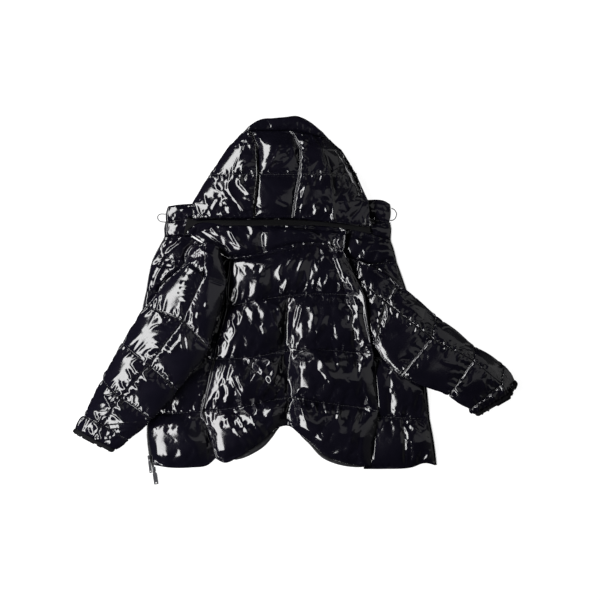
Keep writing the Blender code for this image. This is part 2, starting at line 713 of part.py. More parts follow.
def trims(matte):
    for side, lines, column, turn in (("left", FRONT_LEFT, 0, -1), ("right", FRONT_RIGHT, -1, 1)):
        collar_edge = edge_of("collar", COLLAR, COLLAR_COLUMNS, column=column)
        front_edge = edge_of(f"front_{side}", lines, FRONT_COLUMNS, column=column)
        edge = np.concatenate([collar_edge[STEPS_BETWEEN_LINES + 1:-1], front_edge[1:]])
        if side == "left":
            edge = np.concatenate([edge, [edge[-1] + TAPE_TAIL]])
        strip_beside(f"zip_tape_{side}", edge, outward_of(edge, turn), TAPE_WIDTH, TAPE_THICK,
                     matte(f"zip_tape_{side}"))
    quilted("hood_zip_flap", FLAP, FLAP_COLUMNS, matte("hood_zip_flap"), seam=FLAP_THICK,
            over=("collar", "back_yoke", "front_left", "front_right", "back"), puckers=False)


def facings(nylon):
    """Slivers of the hem facing that show below the back's two hem lobes."""
    hem = edge_of("back", BACK, BACK_COLUMNS, row=-1)
    for side, (start, end, width) in FACINGS.items():
        edge = hem[(hem[:, 0] > start) & (hem[:, 0] < end)]
        widths = 0.6 + width * np.sin(np.linspace(0, math.pi, len(edge))) ** 0.7
        strip_beside(f"hem_facing_{side}", edge, outward_of(edge, -1), widths, FACING_THICK,
                     nylon(f"hem_facing_{side}"))


def zip_hardware(metal):
    """Both sliders on the left tape, with their pulls hanging down to the surface."""
    seat = TAPE_THICK + SEAM_GAP
    for row in SLIDERS:
        middle, tip = np.array(row.middle, float), np.array(row.tip, float)
        run = middle - tip
        turn = math.atan2(-run[0], run[1])
        slider(f"zip_slider_{row.name}", (*middle, seat), turn, metal(f"zip_slider_{row.name}"))
        pivot_height = seat + SLIDER_SIZE[2] + PIVOT_ABOVE_SLIDER
        forward = np.array([-math.sin(turn), math.cos(turn)]) * PIVOT_FORWARD
        drop = pivot_height - PULL_THICK / 2 - PULL_CLEAR
        pull(f"zip_pull_{row.name}", (*(middle + forward), pivot_height), turn,
             math.asin(drop / row.length), row.length, row.width,
             metal(f"zip_pull_{row.name}"))


def build_all():
    clear_scene()

    def nylon(name):
        return material(f"{name} nylon", (0.012, 0.012, 0.017), 0.18)

    def matte(name):
        return material(f"{name} weave", (0.035, 0.035, 0.038), 0.75)

    def metal(name):
        return material(f"{name} metal", (0.06, 0.06, 0.065), 0.35, 0.9)

    fronts_and_collar(nylon)
    back_and_sleeves(nylon)
    hood(nylon)
    trims(matte)
    facings(nylon)
    zip_hardware(metal)
    cord("collar_cord_left", CORD_LEFT, material("left cord", (0.01, 0.01, 0.01), 0.6))
    cord("collar_cord_right", CORD_RIGHT, material("right cord", (0.01, 0.01, 0.01), 0.6))


if __name__ == "__main__":
    build_all()
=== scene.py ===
"""Hooded puffer jacket, laid down flat and open: its finishes, its puffed cloth and its trims.

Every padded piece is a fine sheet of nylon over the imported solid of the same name. Its seams and
quilting lines are held, the rest is cut a little large, and a cloth simulation puffs it up. The
small folds that run out from the stitching, and the larger ones between, are then laid on it.
Tables are in millimetres, in the frame's own axes: +X right along the hem, +Y from the hem to the
hood, +Z up.
"""
import math
from collections import namedtuple

import bpy
import bmesh
import numpy as np
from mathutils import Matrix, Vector
from mathutils.bvhtree import BVHTree


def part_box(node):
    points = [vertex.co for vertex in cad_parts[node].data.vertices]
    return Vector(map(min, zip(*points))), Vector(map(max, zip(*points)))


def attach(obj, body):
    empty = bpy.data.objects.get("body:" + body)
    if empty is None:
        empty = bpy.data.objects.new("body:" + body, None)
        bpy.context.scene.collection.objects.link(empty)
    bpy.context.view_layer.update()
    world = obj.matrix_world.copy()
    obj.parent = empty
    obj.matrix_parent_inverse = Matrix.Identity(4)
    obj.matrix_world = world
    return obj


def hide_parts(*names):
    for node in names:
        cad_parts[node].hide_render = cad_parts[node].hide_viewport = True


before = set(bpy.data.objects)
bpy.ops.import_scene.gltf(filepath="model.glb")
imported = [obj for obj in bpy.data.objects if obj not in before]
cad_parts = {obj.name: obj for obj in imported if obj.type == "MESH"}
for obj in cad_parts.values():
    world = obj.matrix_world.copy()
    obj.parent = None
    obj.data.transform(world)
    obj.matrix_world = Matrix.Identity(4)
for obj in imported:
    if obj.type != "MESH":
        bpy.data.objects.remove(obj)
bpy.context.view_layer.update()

MM = 0.001
BODY = "jacket"

# ---------------------------------------------------------------- sizes, mm
GRID = 4.0              # of the simulated cloth
COARSE = 4              # steps of the finished cloth, at half that grid, to one of its lining
SPREAD = 12             # grid steps over which the padding's thickness is evened out
EDGE_HEIGHT = 2.5       # of a panel's edge seam above what it lies on
STITCH_SHARE = 0.42     # how far up the padding its quilting seams lie
TUBE_SHARE = 0.55       # the same in sleeves and hood, of the loft
TUBE_BULGE = 5.0        # of a tube's fold between its seams
SEAM_GAP = 0.25         # between a tube's half and the line of its top seam
WALL_SHARE = 0.22       # the most of a tube's width or height that one wall of it takes
WALL_LEAST = 1.0        # of puffed cloth over its lining
EDGE_PASSES = 3         # of evening out that a panel's top is given before its seams are sunk
LAYER_CLEAR = 0.6       # between a panel's puffed top and what lies on it
MIDWAY = 20.0           # height halfway up the padding
INSET = 1.5             # in from a solid's edge, where points beside it take their height
BEYOND = 1000.0         # height above everything, and below the floor where it is negative

FRAMES = 24             # of the simulation
SPARE = 0.01            # the share that cloth is cut larger than it lies
MOVE_MOST = 22.0        # that puffed cloth may move

FINE_PUCKER = (11.0, 12.0, 0.8)       # pitch, length and height of the smallest folds
CREASE_HEIGHT = 0.2
CREASE_LENGTHS = (24, 30)
ROLL_WIDTH = 52.0       # of the smooth roll along an edge that isn't gathered
ROLL_SLOPE = 0.46
ROLL_BLEND = 3.0        # over which the roll meets the rest of the cloth
ROLL_CALM = 0.6         # the share of the roll that has no small folds
SAG_WIDTH = 20.0        # from which a fold is a rise or sag of the padding
FOLD_POINTS = 40        # along a fold
FOLD_REACH = 6          # widths to each side of a fold within which it raises the cloth
END_GATHER = 0.3        # how strongly a tube's first seam is gathered
LEAST_GATHER = 0.01     # of a tube's long edges, which go on round and so aren't rolled

STITCH_PITCH = 4.6
STITCH_LENGTH = 3.2
STITCH_RADIUS = 0.42
STITCH_SINK = 0.5       # of its ends into the cloth
STITCH_LIFT = 0.25      # of its middle line above the cloth
STITCH_LOWEST = 1.5     # height above the floor from which a seam shows

STRIP_GAP = 0.3         # between a strip or binding and the edge that it is sewn to
STRIP_ROWS = 5
FLAP_ROWS = 10
FLAP_POINTS = 201
FLAP_THICK = 2.2
FACING_POINTS = 61
FACING_THICK = 1.6
TAPE_POINTS = 241
TAPE_WIDTH = 6.0
TAPE_THICK = 1.2
TOOTH_PITCH = 3.1
TOOTH_INSET = 1.0       # of the teeth's line from the tape's free edge
TOOTH_LIFT = 0.2        # of the teeth's middle above the tape
TOOTH_FOOT = (2.2, 1.7, 2.2)
TOOTH_FOOT_OUT = 0.4
TOOTH_NECK = 0.7
TOOTH_HEAD = 1.1
TOOTH_ROUNDING = 0.22
CORD_DIAMETER = 2.6
CORD_POINTS = 24

CUFF_WIDTH = 11.0
CUFF_WALL = 4.0
CUFF_SLANT = 12.0       # further forward under the wrist than over it
RIBS = 64
RIB_POINTS = 4          # round the cuff to each rib
RIB_HEIGHT = 0.35
BINDING_STEP = 1.5      # of cloth from each point of the binding's profile to the next

# ---------------------------------------------------------------- the cut, as it lies, mm
# A line of quilting or an edge across a panel, whether it is stitched, and how high above
# what it lies on the panel's left and right edges are at its ends.
Line = namedtuple("Line", "points stitched left right", defaults=(True, EDGE_HEIGHT, EDGE_HEIGHT))
# Gathers says how strongly the left, right, first and last edges are gathered, and pucker
# the pitch, length and height of the folds that run out from the seams.
Panel = namedtuple("Panel", "node lines bulge gathers pucker pressure share",
                   defaults=(STITCH_SHARE,))
# One station down a tube: its fold, its top seam, the height there, how far it puffs up
# from here to the next stitched station, and whether a seam is stitched round it here.
Station = namedtuple("Station", "fold seam height loft stitched", defaults=(0, True))
# Wall is how thick its padding is, under_share how far its cloth goes on under it, as a share
# of its width, and pressure what puffs it up. Sewn says how far its top seam is sunk, tilt how
# much lower the cloth is at its fold than at its seam, and round how rounded it is at the fold.
Tube = namedtuple("Tube", "node stations wall under_share pucker pressure sewn tilt round",
                  defaults=(0.2, 0.0, 1.0))

YOKE_SEAM = ((-176, 112), (-86, 126), (-14, 142), (68, 153), (132, 131))
FRONT_LEFT = (
    Line(((-351, 174), (-318, 175), (-284, 174)), left=4),
    Line(((-380, 108), (-290, 106), (-176, 112)), False, left=4),
    Line(((-402, 26), (-300, 8), (-186, -18)), left=4),
    Line(((-416, -110), (-320, -130), (-222, -160)), right=6),
    Line(((-399, -310), (-330, -306), (-252, -300)), left=4, right=17),
    Line(((-383, -446), (-352, -452), (-283, -453), (-236, -446), (-216, -428)), right=6),
)
FRONT_RIGHT = (
    Line(((138, 197), (202, 181), (256, 167)), left=13, right=5),
    Line(((108, 131), (200, 100), (274, 104))),
    Line(((160, -8), (250, -16), (314, -20)), left=16),
    Line(((188, -150), (270, -160), (343, -160)), left=26),
    Line(((203, -315), (290, -318), (362, -322)), left=28),
    Line(((186, -456), (240, -456), (318, -452), (352, -441), (381, -447)), left=20),
)
YOKE = (
    Line(((-284, 179), (-254, 192), (-189, 207), (-14, 208), (60, 207), (140, 198)), left=8,
         right=12),
    Line(YOKE_SEAM, left=24, right=14),
)
BACK = (
    Line(YOKE_SEAM, left=24, right=14),
    Line(((-186, -18), (-122, -4), (-27, 12), (81, 18), (189, 12)), left=26, right=6),
    Line(((-222, -160), (-127, -155), (-27, -139), (68, -134), (213, -147)), left=22, right=6),
    Line(((-252, -300), (-154, -290), (-19, -266), (94, -279), (227, -298)), left=17),
    Line((
        (-216, -428), (-192, -440), (-152, -424), (-118, -402), (-92, -384), (-70, -364),
        (-48, -346), (-19, -340), (14, -364), (40, -383), (81, -420), (122, -437),
        (162, -446), (205, -450),
    ), left=6),
)
COLLAR = (
    Line(((-345, 255), (-330, 258), (-275, 263), (-40, 263), (192, 273), (243, 270), (258, 261))),
    Line(((-350, 212), (-275, 222), (-40, 226), (192, 222), (256, 212))),
    Line((
        (-351, 173.4), (-318, 174.4), (-284, 173.6), (-254, 183.6), (-189, 196.6),
        (-14, 199.8), (136, 190.8), (202, 173.6), (256, 165.6),
    )),
)
BRIM = (
    Line(((-142, 454), (-122, 457.5), (-65, 457.4), (-8, 458.4), (42, 447), (92, 437)), left=11,
         right=11),
    Line(((-128, 470), (-108, 485), (-90, 492.5), (-60, 495), (-25, 498), (6, 500.5), (22, 495),
          (40, 485), (76, 456))),
)
HOOD_CROWN = (
    Line(((-111, 224), (-58, 224), (-5, 224)), left=19.7, right=19.7),
    Line(((-111, 263), (-55, 263), (0, 263)), False, left=25, right=25),
    Line(((-103, 339), (-45, 339), (14, 339)), left=23, right=23),
    Line(((-106, 415), (-44, 412), (18, 410)), False, left=26.5, right=26.5),
    Line(((-122, 457), (-65, 457), (-8, 457)), left=16.4, right=16.4),
)

PANELS = (
    Panel("front_left", FRONT_LEFT, (6, 0), (0.4, 0.8, 0.5, 0.5), (17, 26, 1.5), 2.0),
    Panel("front_right", FRONT_RIGHT, (0, 2), (0.2, 0.3, 0.5, 0.5), (18, 26, 1.4), 2.0),
    Panel("collar", COLLAR, (3, 3), (0.6, 0.6, 0.4, 0.6), (11, 14, 1.2), 1.5),
    Panel("back_yoke", YOKE, (0, 0), (0.3, 0.2, 0.6, 0.8), (14, 18, 1.6), 2.0),
    Panel("back", BACK, (0, 0), (0.15, 0.0, 0.8, 0.4), (24, 34, 1.8), 2.0),
    Panel("hood_crown", HOOD_CROWN, (0, 0), (0.8, 1.0, 0.8, 0.5), (13, 18, 1.4), 1.5,
          share=0.95),
    Panel("hood_brim", BRIM, (0, 0), (0.1, 0.1, 0.5, 0.0), (10, 8, 0.5), 1.0),
)


def sleeve(*rows):
    """A sleeve's outer and inner half. Each row holds the outer fold, the top seam that the
    halves share, the inner fold, and the rest of the two stations."""
    outer = tuple(Station(fold, seam, *rest) for fold, seam, _, *rest in rows)
    inner = tuple(Station(fold, seam, *rest) for _, seam, fold, *rest in rows)
    return outer, inner


SLEEVE_LEFT_OUTER, SLEEVE_LEFT_INNER = sleeve(
    ((-276, 145), (-240, 160), (-205, 147), 24, 24),
    ((-296, 97), (-246, 61), (-186, 45), 54, 0, False),
    ((-400, -15), (-300, -53), (-230, -128), 54, 28),
    ((-465, -115), (-392, -174), (-316, -239), 50, 25),
    ((-519, -215), (-470, -261), (-386, -317), 46, 21),
    ((-568, -312), (-518, -333), (-451, -374), 41, 15),
    ((-593, -345), (-544, -371), (-487, -401), 38),
)
SLEEVE_RIGHT_OUTER, SLEEVE_RIGHT_INNER = sleeve(
    ((170, 110), (164, 60), (166, 8), 13, 8),
    ((276, 45), (246, -4), (216, -122), 26, 16),
    ((380, -42), (367, -101), (284, -202), 42, 24),
    ((485, -126), (478, -161), (416, -252), 48, 23),
    ((562, -174), (556, -225), (473, -292), 42, 17),
    ((594, -215), (572, -254), (486, -304), 38),
)
# Each hood station's fold and seam on the left, then on the right, and the rest of both.
HOOD = (
    (((-275, 222), (-111, 224)), ((205, 202), (-5, 224)), (34, 14)),
    (((-272, 263), (-111, 263)), ((192, 268), (0, 263)), (44, 0, False)),
    (((-229, 339), (-103, 339)), ((166, 339), (14, 339)), (48, 20)),
    (((-172, 420), (-106, 415)), ((121, 407), (18, 410)), (40, 0, False)),
    (((-142, 454), (-122, 457)), ((92, 437), (-8, 457)), (22,)),
)
HOOD_LEFT, HOOD_RIGHT = (
    tuple(Station(*row[side], *row[2]) for row in HOOD) for side in (0, 1))
TUBES = (
    Tube("sleeve_left_outer", SLEEVE_LEFT_OUTER, 11, 1.0, (15, 44, 3.0), 2.0, 0.1, 0.12),
    Tube("sleeve_left_inner", SLEEVE_LEFT_INNER, 11, 1.0, (16, 26, 2.4), 2.0, 0.1, 0.0, 0.3),
    Tube("sleeve_right_outer", SLEEVE_RIGHT_OUTER, 11, 1.0, (13, 20, 2.2), 2.0, 0.15, 0.45, 1.15),
    Tube("sleeve_right_inner", SLEEVE_RIGHT_INNER, 11, 1.0, (13, 22, 3.0), 2.0, 0.15, -0.1, 0.35),
    Tube("hood_side_left", HOOD_LEFT, 12, 0.42, (15, 26, 2.4), 2.0, 0.2, 0.1, 0.6),
    Tube("hood_side_right", HOOD_RIGHT, 12, 0.42, (15, 26, 2.4), 2.0, 0.2, 0.4),
)

# Folds laid one by one: width, height, which is below 0 where the cloth sinks, and x and y of
# each point along them.
FOLDS = {
    "sleeve_left": (
        (7, -7, -285, 100, -259, 87, -237, 63), (6, -4, -280, 103, -272, 116, -253, 119),
        (6, 3, -256, 132, -237, 127, -219, 116), (4.5, 2, -299, 68, -280, 65),
        (4.5, 3.5, -307, 47, -285, 49), (4.5, 3.5, -310, 33, -275, 33),
        (4.5, 4, -315, 20, -275, 17), (4.5, 3.5, -307, 4, -275, -1),
        (4.5, 3.5, -240, -20, -235, -1), (4.5, 3.5, -318, -28, -312, -49),
        (4.5, 3.5, -304, -31, -302, -55), (4.5, 3.5, -288, -28, -291, -52),
        (4.5, 3.5, -272, -31, -275, -49), (4.5, 3.5, -256, -31, -264, -47),
        (5, 4.5, -384, -31, -366, -36, -352, -57), (5, 4, -390, -79, -366, -68, -342, -73),
        (4.5, 2, -398, -100, -360, -92, -326, -97),
        (4.5, 3.5, -398, -121, -366, -113, -334, -111),
        (4.5, 4, -403, -140, -374, -127, -342, -127),
        (4.5, 4, -387, -153, -366, -145, -344, -137),
        (4.5, 4, -334, -140, -318, -121, -304, -103),
        (4.5, 4.5, -296, -79, -288, -111, -285, -140),
        (4.5, 3.5, -304, -81, -302, -119, -296, -137),
        (5, -2.5, -296, -84, -264, -113, -232, -137),
        (4.5, 4, -440, -164, -414, -161, -384, -178),
        (4.5, 4.5, -438, -172, -419, -191, -400, -188),
        (4.5, 4, -451, -183, -440, -199, -438, -218),
        (4.5, 4, -408, -194, -395, -212, -384, -210),
        (4.5, 4.5, -467, -215, -454, -234, -443, -226),
        (4.5, 4, -475, -239, -456, -252, -438, -247), (4.5, 3.5, -430, -220, -419, -239),
        (4.5, 3.5, -478, -258, -464, -276), (4.5, 3.5, -352, -191, -339, -202, -334, -220),
        (4.5, 2, -358, -202, -347, -223), (5, 4, -518, -244, -504, -271, -483, -298),
        (4.5, 3.5, -486, -266, -470, -282, -464, -295),
        (4.5, 4, -483, -298, -470, -316, -448, -330),
        (4.5, 4, -512, -332, -472, -327, -416, -330),
        (4.5, 4, -515, -346, -478, -340, -430, -338),
        (4.5, 4, -510, -359, -480, -354, -443, -346),
        (4.5, 3.5, -512, -370, -488, -367, -462, -356),
        (4.5, 4, -542, -295, -531, -319, -515, -330),
        (4.5, 4, -547, -324, -531, -340, -512, -348), (4.5, 4, -560, -343, -544, -362),
        (4.5, 3.5, -526, -351, -518, -372),
    ),
    "front_left": (
        (6, -8, -298, 93, -298, 122, -287, 144, -266, 163),
        (5, 3.5, -363, 117, -336, 136, -312, 157), (5.5, 4, -397, 23, -381, 74, -355, 120),
        (5, 3.5, -387, 26, -373, 66, -352, 103), (5, 3.5, -330, 120, -325, 98, -328, 77),
        (4.5, 3, -355, 63, -341, 74, -330, 79), (4.5, 3, -371, 39, -357, 55, -349, 69),
        (4.5, 3, -384, 12, -371, 34), (7, -10, -285, 103, -349, 52, -400, -12),
        (24, 9, -330, -321, -287, -364, -247, -407), (10, 4, -303, -257, -320, -291),
        (4.5, 3.5, -258, -211, -239, -195), (4.5, 3.5, -263, -235, -242, -222),
        (4.5, 3.5, -260, -257, -244, -248), (4.5, 3.5, -258, -278, -242, -270),
        (5, 2.5, -239, -321, -234, -356), (5, 2.5, -234, -375, -215, -418),
        (4.5, 2.5, -287, -308, -277, -324), (4.5, 2, -363, -310, -341, -318),
    ),
    "back_yoke": (
        (5, -3.5, -265, 157, -249, 165, -233, 168, -206, 152, -185, 119),
        (9, 8, -180, 194, -158, 162, -139, 141), (4.5, 3, -247, 202, -239, 184),
        (4.5, 3.5, -228, 200, -212, 181, -193, 176), (5, 3, -255, 160, -236, 168, -212, 154),
        (4.5, 2, -289, 160, -263, 168), (5, -4, -94, 181, -88, 133),
        (5, 4.5, -29, 189, 14, 186, 54, 178, 75, 162), (4.5, 3.5, 8, 173, 40, 170, 64, 157),
        (4.5, 3.5, 22, 162, 30, 143), (4.5, 3.5, 83, 173, 97, 154, 94, 141),
        (5, 4, 105, 173, 123, 146, 137, 130), (4.5, 3, 72, 154, 99, 154, 121, 141),
        (4.5, 2.5, -142, 149, -129, 135), (4.5, 2, -5, 154, 0, 141),
    ),
    "back": (
        (34, 8, 105, 103, 123, -12, 134, -79, 139, -154),
        (24, -12, 158, 87, 177, 7, 188, -68, 193, -149),
        (9, -14, -16, -114, -24, -159, -19, -213, -13, -266),
        (9, -15, -13, -256, -19, -299, -21, -341), (7, -6, -190, 103, -185, 42, -195, -12),
        (18, 7, -102, 66, -96, 33, -115, -7), (6, 3, -102, 66, -75, 92, -48, 108),
        (6, 3, -29, 108, -43, 76, -37, 52), (6, 3, 16, 138, -11, 103, -32, 79),
        (7, 4, 38, 133, 14, 87, 0, 36), (5.5, 2, 48, 119, 46, 74), (6, 2.5, 67, 125, 62, 79),
        (5, 4, -53, 9, -29, 31, -19, 63), (4.5, 2.5, 0, 25, 24, 50), (5, 2.5, 54, 60, 48, 28),
        (10, 4.5, 94, 79, 86, 50, 75, 17), (4.5, 3, 115, 76, 107, 52),
        (7, 3.5, 126, 63, 121, 25), (7, 3.5, 150, 66, 158, 20),
        (4.5, 3, -182, -7, -190, -47, -195, -87, -179, -116),
        (4.5, 3, -174, -12, -171, -52, -161, -82, -177, -114),
        (5, 4, -70, -9, -48, -17, -40, -50), (5, 3.5, -16, -15, -32, -31, -40, -58),
        (4.5, 2.5, -64, -20, -51, -66, -32, -95), (4.5, 3.5, 8, -1, -3, -47, -8, -84),
        (4.5, 3.5, 19, -17, 11, -52, 0, -82), (11, 5, 43, -9, 51, -41, 43, -87),
        (11, 5.5, 83, -28, 70, -66, 48, -111), (10, 5, 131, -17, 155, -58, 147, -100),
        (4.5, 3.5, 137, 9, 155, -15, 166, -36), (4.5, 3.5, 153, 17, 166, -12),
        (5, 2, 94, -90, 107, -119), (4.5, 3, 185, -116, 174, -133, 193, -165),
        (5, 2, -91, -66, -78, -98), (14, -6, -16, 1, -24, -58, -27, -125),
        (7, 5, -80, -154, -59, -178), (5, -3.5, -147, -154, -104, -191, -45, -250),
        (5, 2.5, -139, -149, -88, -189, -37, -242), (5, 4, -171, -208, -158, -234, -142, -264),
        (4.5, 3, -155, -208, -139, -237), (20, 9, -153, -199, -139, -240, -153, -288),
        (4.5, 2.5, -219, -261, -209, -283), (19, 9, 35, -133, 78, -175, 115, -234),
        (4.5, 3, 11, -146, 16, -167, 8, -183), (4.5, 3, 24, -151, 30, -183),
        (6, 3, 115, -143, 121, -194), (6, 2.5, 161, -149, 155, -202),
        (5.5, 3.5, -217, -315, -190, -312, -163, -307), (5, 3.5, -112, -277, -99, -301),
        (5, 2.5, -91, -272, -80, -285), (6, 3, -195, -315, -158, -352, -118, -392),
        (6, 3, -161, -307, -131, -347, -102, -379), (6, 3, -128, -299, -102, -339, -72, -374),
        (4.5, 3, -29, -266, -13, -288), (5.5, 5, 5, -240, 14, -280, 32, -331),
        (5, 3.5, 24, -250, 27, -288, 43, -323), (4.5, 3, 48, -274, 59, -307),
        (4.5, 2.5, 67, -283, 72, -309), (4.5, 3, 80, -283, 88, -309),
        (4.5, 3, 102, -288, 97, -312), (5, 4, 121, -288, 115, -325),
        (10, 4.5, 174, -288, 163, -320, 150, -366), (4.5, 2, 155, -366, 147, -384),
        (5, 1.5, 97, -422, 129, -406),
    ),
    "hood_side_left": (
        (20, 4, -115, 332, -117, 282, -120, 236), (13, 7, -176, 341, -139, 362, -104, 381),
        (4.5, 3, -149, 410, -147, 429, -131, 431, -120, 413),
        (4.5, 3, -125, 439, -107, 445, -91, 450), (4.5, 2.5, -115, 431, -120, 413, -109, 399),
        (4.5, 2.5, -213, 346, -200, 324), (4.5, 2.5, -224, 341, -211, 319),
        (8, 6, -157, 330, -136, 303, -115, 284),
        (4.5, 3.5, -184, 330, -176, 295, -147, 255, -128, 226),
        (4.5, 3, -219, 311, -203, 295, -187, 292), (5, 3.5, -203, 287, -184, 279, -171, 274),
        (4.5, 2.5, -205, 271, -192, 263), (5, 4, -203, 258, -179, 260, -155, 255),
        (5, 3.5, -208, 234, -189, 231, -171, 236), (4.5, 3, -224, 244, -211, 263, -203, 276),
        (4.5, 2.5, -246, 290, -238, 258), (4.5, 3, -264, 258, -254, 234, -232, 252),
    ),
    "hood_crown": (
        (20, 4, -115, 332, -117, 282, -120, 236), (14, 4.5, -59, 431, -69, 386, -91, 343),
        (4.5, 3, -43, 423, -51, 389, -69, 362, -93, 349), (8, 1, -88, 327, -77, 300, -61, 279),
        (4.5, 3.5, -109, 263, -96, 252, -72, 255), (5.5, 3, -11, 426, 3, 375, 14, 349),
        (4.5, 2.5, -104, 447, -88, 429), (4.5, -2, -51, 268, -19, 255),
    ),
    "hood_side_right": (
        (36, -12, 99, 450, 147, 386, 176, 316), (4.5, 3, 16, 439, 27, 415),
        (4.5, 3, 30, 410, 19, 394, 38, 373), (5.5, 4, 35, 319, 24, 292, 14, 268),
        (4.5, 3, 19, 319, 8, 300), (4.5, 3, 22, 263, 16, 244),
        (4.5, 3, 64, 271, 54, 252, 59, 244), (4.5, 3.5, 64, 250, 51, 231, 30, 226),
        (4.5, 3, 72, 276, 86, 268, 94, 258), (4.5, 2.5, 86, 308, 78, 287),
        (4.5, 3, 83, 255, 88, 234), (5, 3.5, 136, 279, 147, 247), (4.5, 3, 99, 236, 107, 212),
        (4.5, 3, 112, 239, 123, 218), (4.5, 2.5, 136, 228, 147, 215),
        (4.5, -2.5, 64, 375, 46, 346), (5, 2, 91, 332, 128, 365, 155, 359),
        (4.5, 2, 115, 319, 118, 303), (6, 2.5, 94, 306, 110, 274),
    ),
    "collar": (
        (4.5, 2.5, -333, 203, -315, 219), (4.5, 2.5, -328, 192, -307, 211),
        (5, 3, -339, 187, -320, 179, -304, 195), (4.5, 2, -309, 243, -290, 251),
        (4.5, 2, 204, 254, 210, 233), (4.5, 2, 239, 254, 245, 233),
    ),
    "front_right": (
        (4.5, -6, 290, -316, 296, -375, 298, -450), (4.5, 3, 169, 171, 175, 149),
        (6, 4.5, 191, 103, 239, 79, 285, 39), (4.5, 2.5, 199, 195, 212, 168),
        (5, 2, 293, -275, 285, -321), (4.5, 2, 266, -292, 298, -310),
        (6, 2, 312, -335, 355, -378), (5, 3.5, 366, -402, 358, -423, 344, -439),
        (7, 1.2, 266, -224, 258, -273), (7, 1.2, 272, -337, 261, -391),
        (5, 1, 293, -348, 290, -391), (5, 1.5, 315, -230, 320, -273),
    ),
    "sleeve_right": (
        (26, 7, 187, 1, 206, -65, 235, -132, 270, -175), (4.5, 3, 190, 47, 195, 25),
        (4.5, 3, 206, 36, 216, 15), (4.5, 2.5, 257, 4, 265, -12),
        (4.5, 3.5, 240, -4, 227, -47, 219, -81), (4.5, 3.5, 251, -9, 249, -47, 238, -76),
        (4.5, 3, 224, -52, 235, -79, 246, -84), (4.5, 2.5, 222, -79, 235, -103),
        (4.5, 3, 278, -23, 286, -49), (4.5, 2.5, 329, -63, 337, -76),
        (4.5, 2.5, 345, -76, 355, -92), (4.5, 2.5, 379, -105, 361, -116),
        (4.5, 3.5, 363, -111, 350, -138), (4.5, 3.5, 353, -121, 339, -148),
        (4.5, 3.5, 345, -132, 331, -162), (4.5, 3.5, 334, -146, 318, -170),
        (4.5, 3.5, 484, -170, 467, -186, 457, -202), (4.5, 3.5, 459, -204, 446, -220, 425, -234),
        (5, 2, 291, -81, 331, -55), (5, 2, 313, -121, 337, -92), (5, 2, 417, -116, 406, -156),
        (5, 2, 430, -130, 443, -148), (5, 2, 390, -162, 430, -172),
        (4.5, 2, 502, -207, 513, -242), (4.5, 2.5, 548, -212, 556, -231),
        (4.5, 2, 462, -151, 467, -170), (5, 2, 273, 28, 299, -7), (12, 4, 307, -15, 345, -57),
        (10, 3, 489, -138, 532, -191),
    ),
}

FLAP = (
    ((-291, 226), (-276, 219), (-216, 218), (-148, 218), (14, 218), (54, 215), (135, 206),
     (204, 198)),
    ((-302, 171), (-284, 196), (-262, 209), (-230, 211), (-197, 204), (-148, 203), (14, 203),
     (54, 203), (135, 194), (205, 181)),
)
FACINGS = {"left": (-168, -42, 14), "right": (14, 200, 9)}
CORDS = {
    "left": ((-351.0, 234, 4.0), (-357, 234.5, 3.6), (-364, 234.5, 2.8), (-370, 232, 2.2),
             (-373, 226, 2.0), (-371, 219, 2.0), (-365, 214.5, 2.4), (-358, 213, 3.2),
             (-350.8, 213, 4.0)),
    "right": ((261.5, 250, 4.0), (267, 248, 3.2), (272, 243, 2.4), (275, 236, 2.0),
              (274, 228, 2.0), (270, 221, 2.4), (264, 217.5, 3.2), (258, 217, 4.0)),
}

# What lies over each panel. All panels are named, because each is also kept above its lining.
COVERED = {
    "front_left": ("sleeve_left_outer", "sleeve_left_inner", "hood_zip_flap"),
    "front_right": ("sleeve_right_outer", "sleeve_right_inner", "back", "back_yoke",
                    "hood_zip_flap"),
    "collar": ("hood_side_left", "hood_side_right", "hood_zip_flap"),
    "back_yoke": ("sleeve_left_outer", "sleeve_left_inner", "hood_zip_flap"),
    "back": ("sleeve_left_outer", "sleeve_left_inner"),
    "hood_crown": (),
    "hood_brim": (),
}

# How strongly a tube's top seam is gathered, at heights up the frame's Y: most are even.
EVEN_GATHERS = ((0, 1), (0.8, 0.8))
SEAM_GATHERS = dict.fromkeys(("sleeve_left_outer", "sleeve_left_inner"), ((-90, -40), (1.0, 0.0)))

# Across a tube from its top seam to the fold, and on under it to the lower seam: share of the
# width out from the fold, and share of the height.
TUBE_OVER = (
    (1.0, 1.0), (0.86, 1.0), (0.72, 0.99), (0.58, 0.975), (0.44, 0.945), (0.31, 0.89), (0.19, 0.79),
    (0.08, 0.6), (0.0, 0.34),
)
TUBE_UNDER = ((0.03, 0.15), (0.12, 0.04), (0.28, 0.0), (0.62, 0.0), (1.0, 0.0))


# ---------------------------------------------------------------- lines and layers

def run_of(line):
    """How far along a line each of its points is."""
    return np.insert(np.cumsum(np.linalg.norm(np.diff(line, axis=0), axis=1)), 0, 0.0)


def laid_out(line, run, at):
    """The places at some lengths along a line, from how far along it its points are."""
    return np.stack([np.interp(at, run, line[:, k]) for k in range(3)], axis=1)


def unit(vectors):
    """The vectors at a length of 1."""
    return vectors / np.linalg.norm(vectors, axis=-1, keepdims=True)


def along(points, fractions):
    """Points at fractions of a line's length, on a smooth curve through its points."""
    line = np.array(points, float)
    run = run_of(line)
    run /= run[-1]
    tangent = np.gradient(line, run, axis=0)
    fractions = np.asarray(fractions, float)
    k = np.clip(np.searchsorted(run, fractions, side="right") - 1, 0, len(run) - 2)
    width = (run[k + 1] - run[k])[:, None]
    s = (fractions[:, None] - run[k][:, None]) / width
    return (
        (2 * s**3 - 3 * s**2 + 1) * line[k] + (s**3 - 2 * s**2 + s) * width * tangent[k]
        + (3 * s**2 - 2 * s**3) * line[k + 1] + (s**3 - s**2) * width * tangent[k + 1]
    )


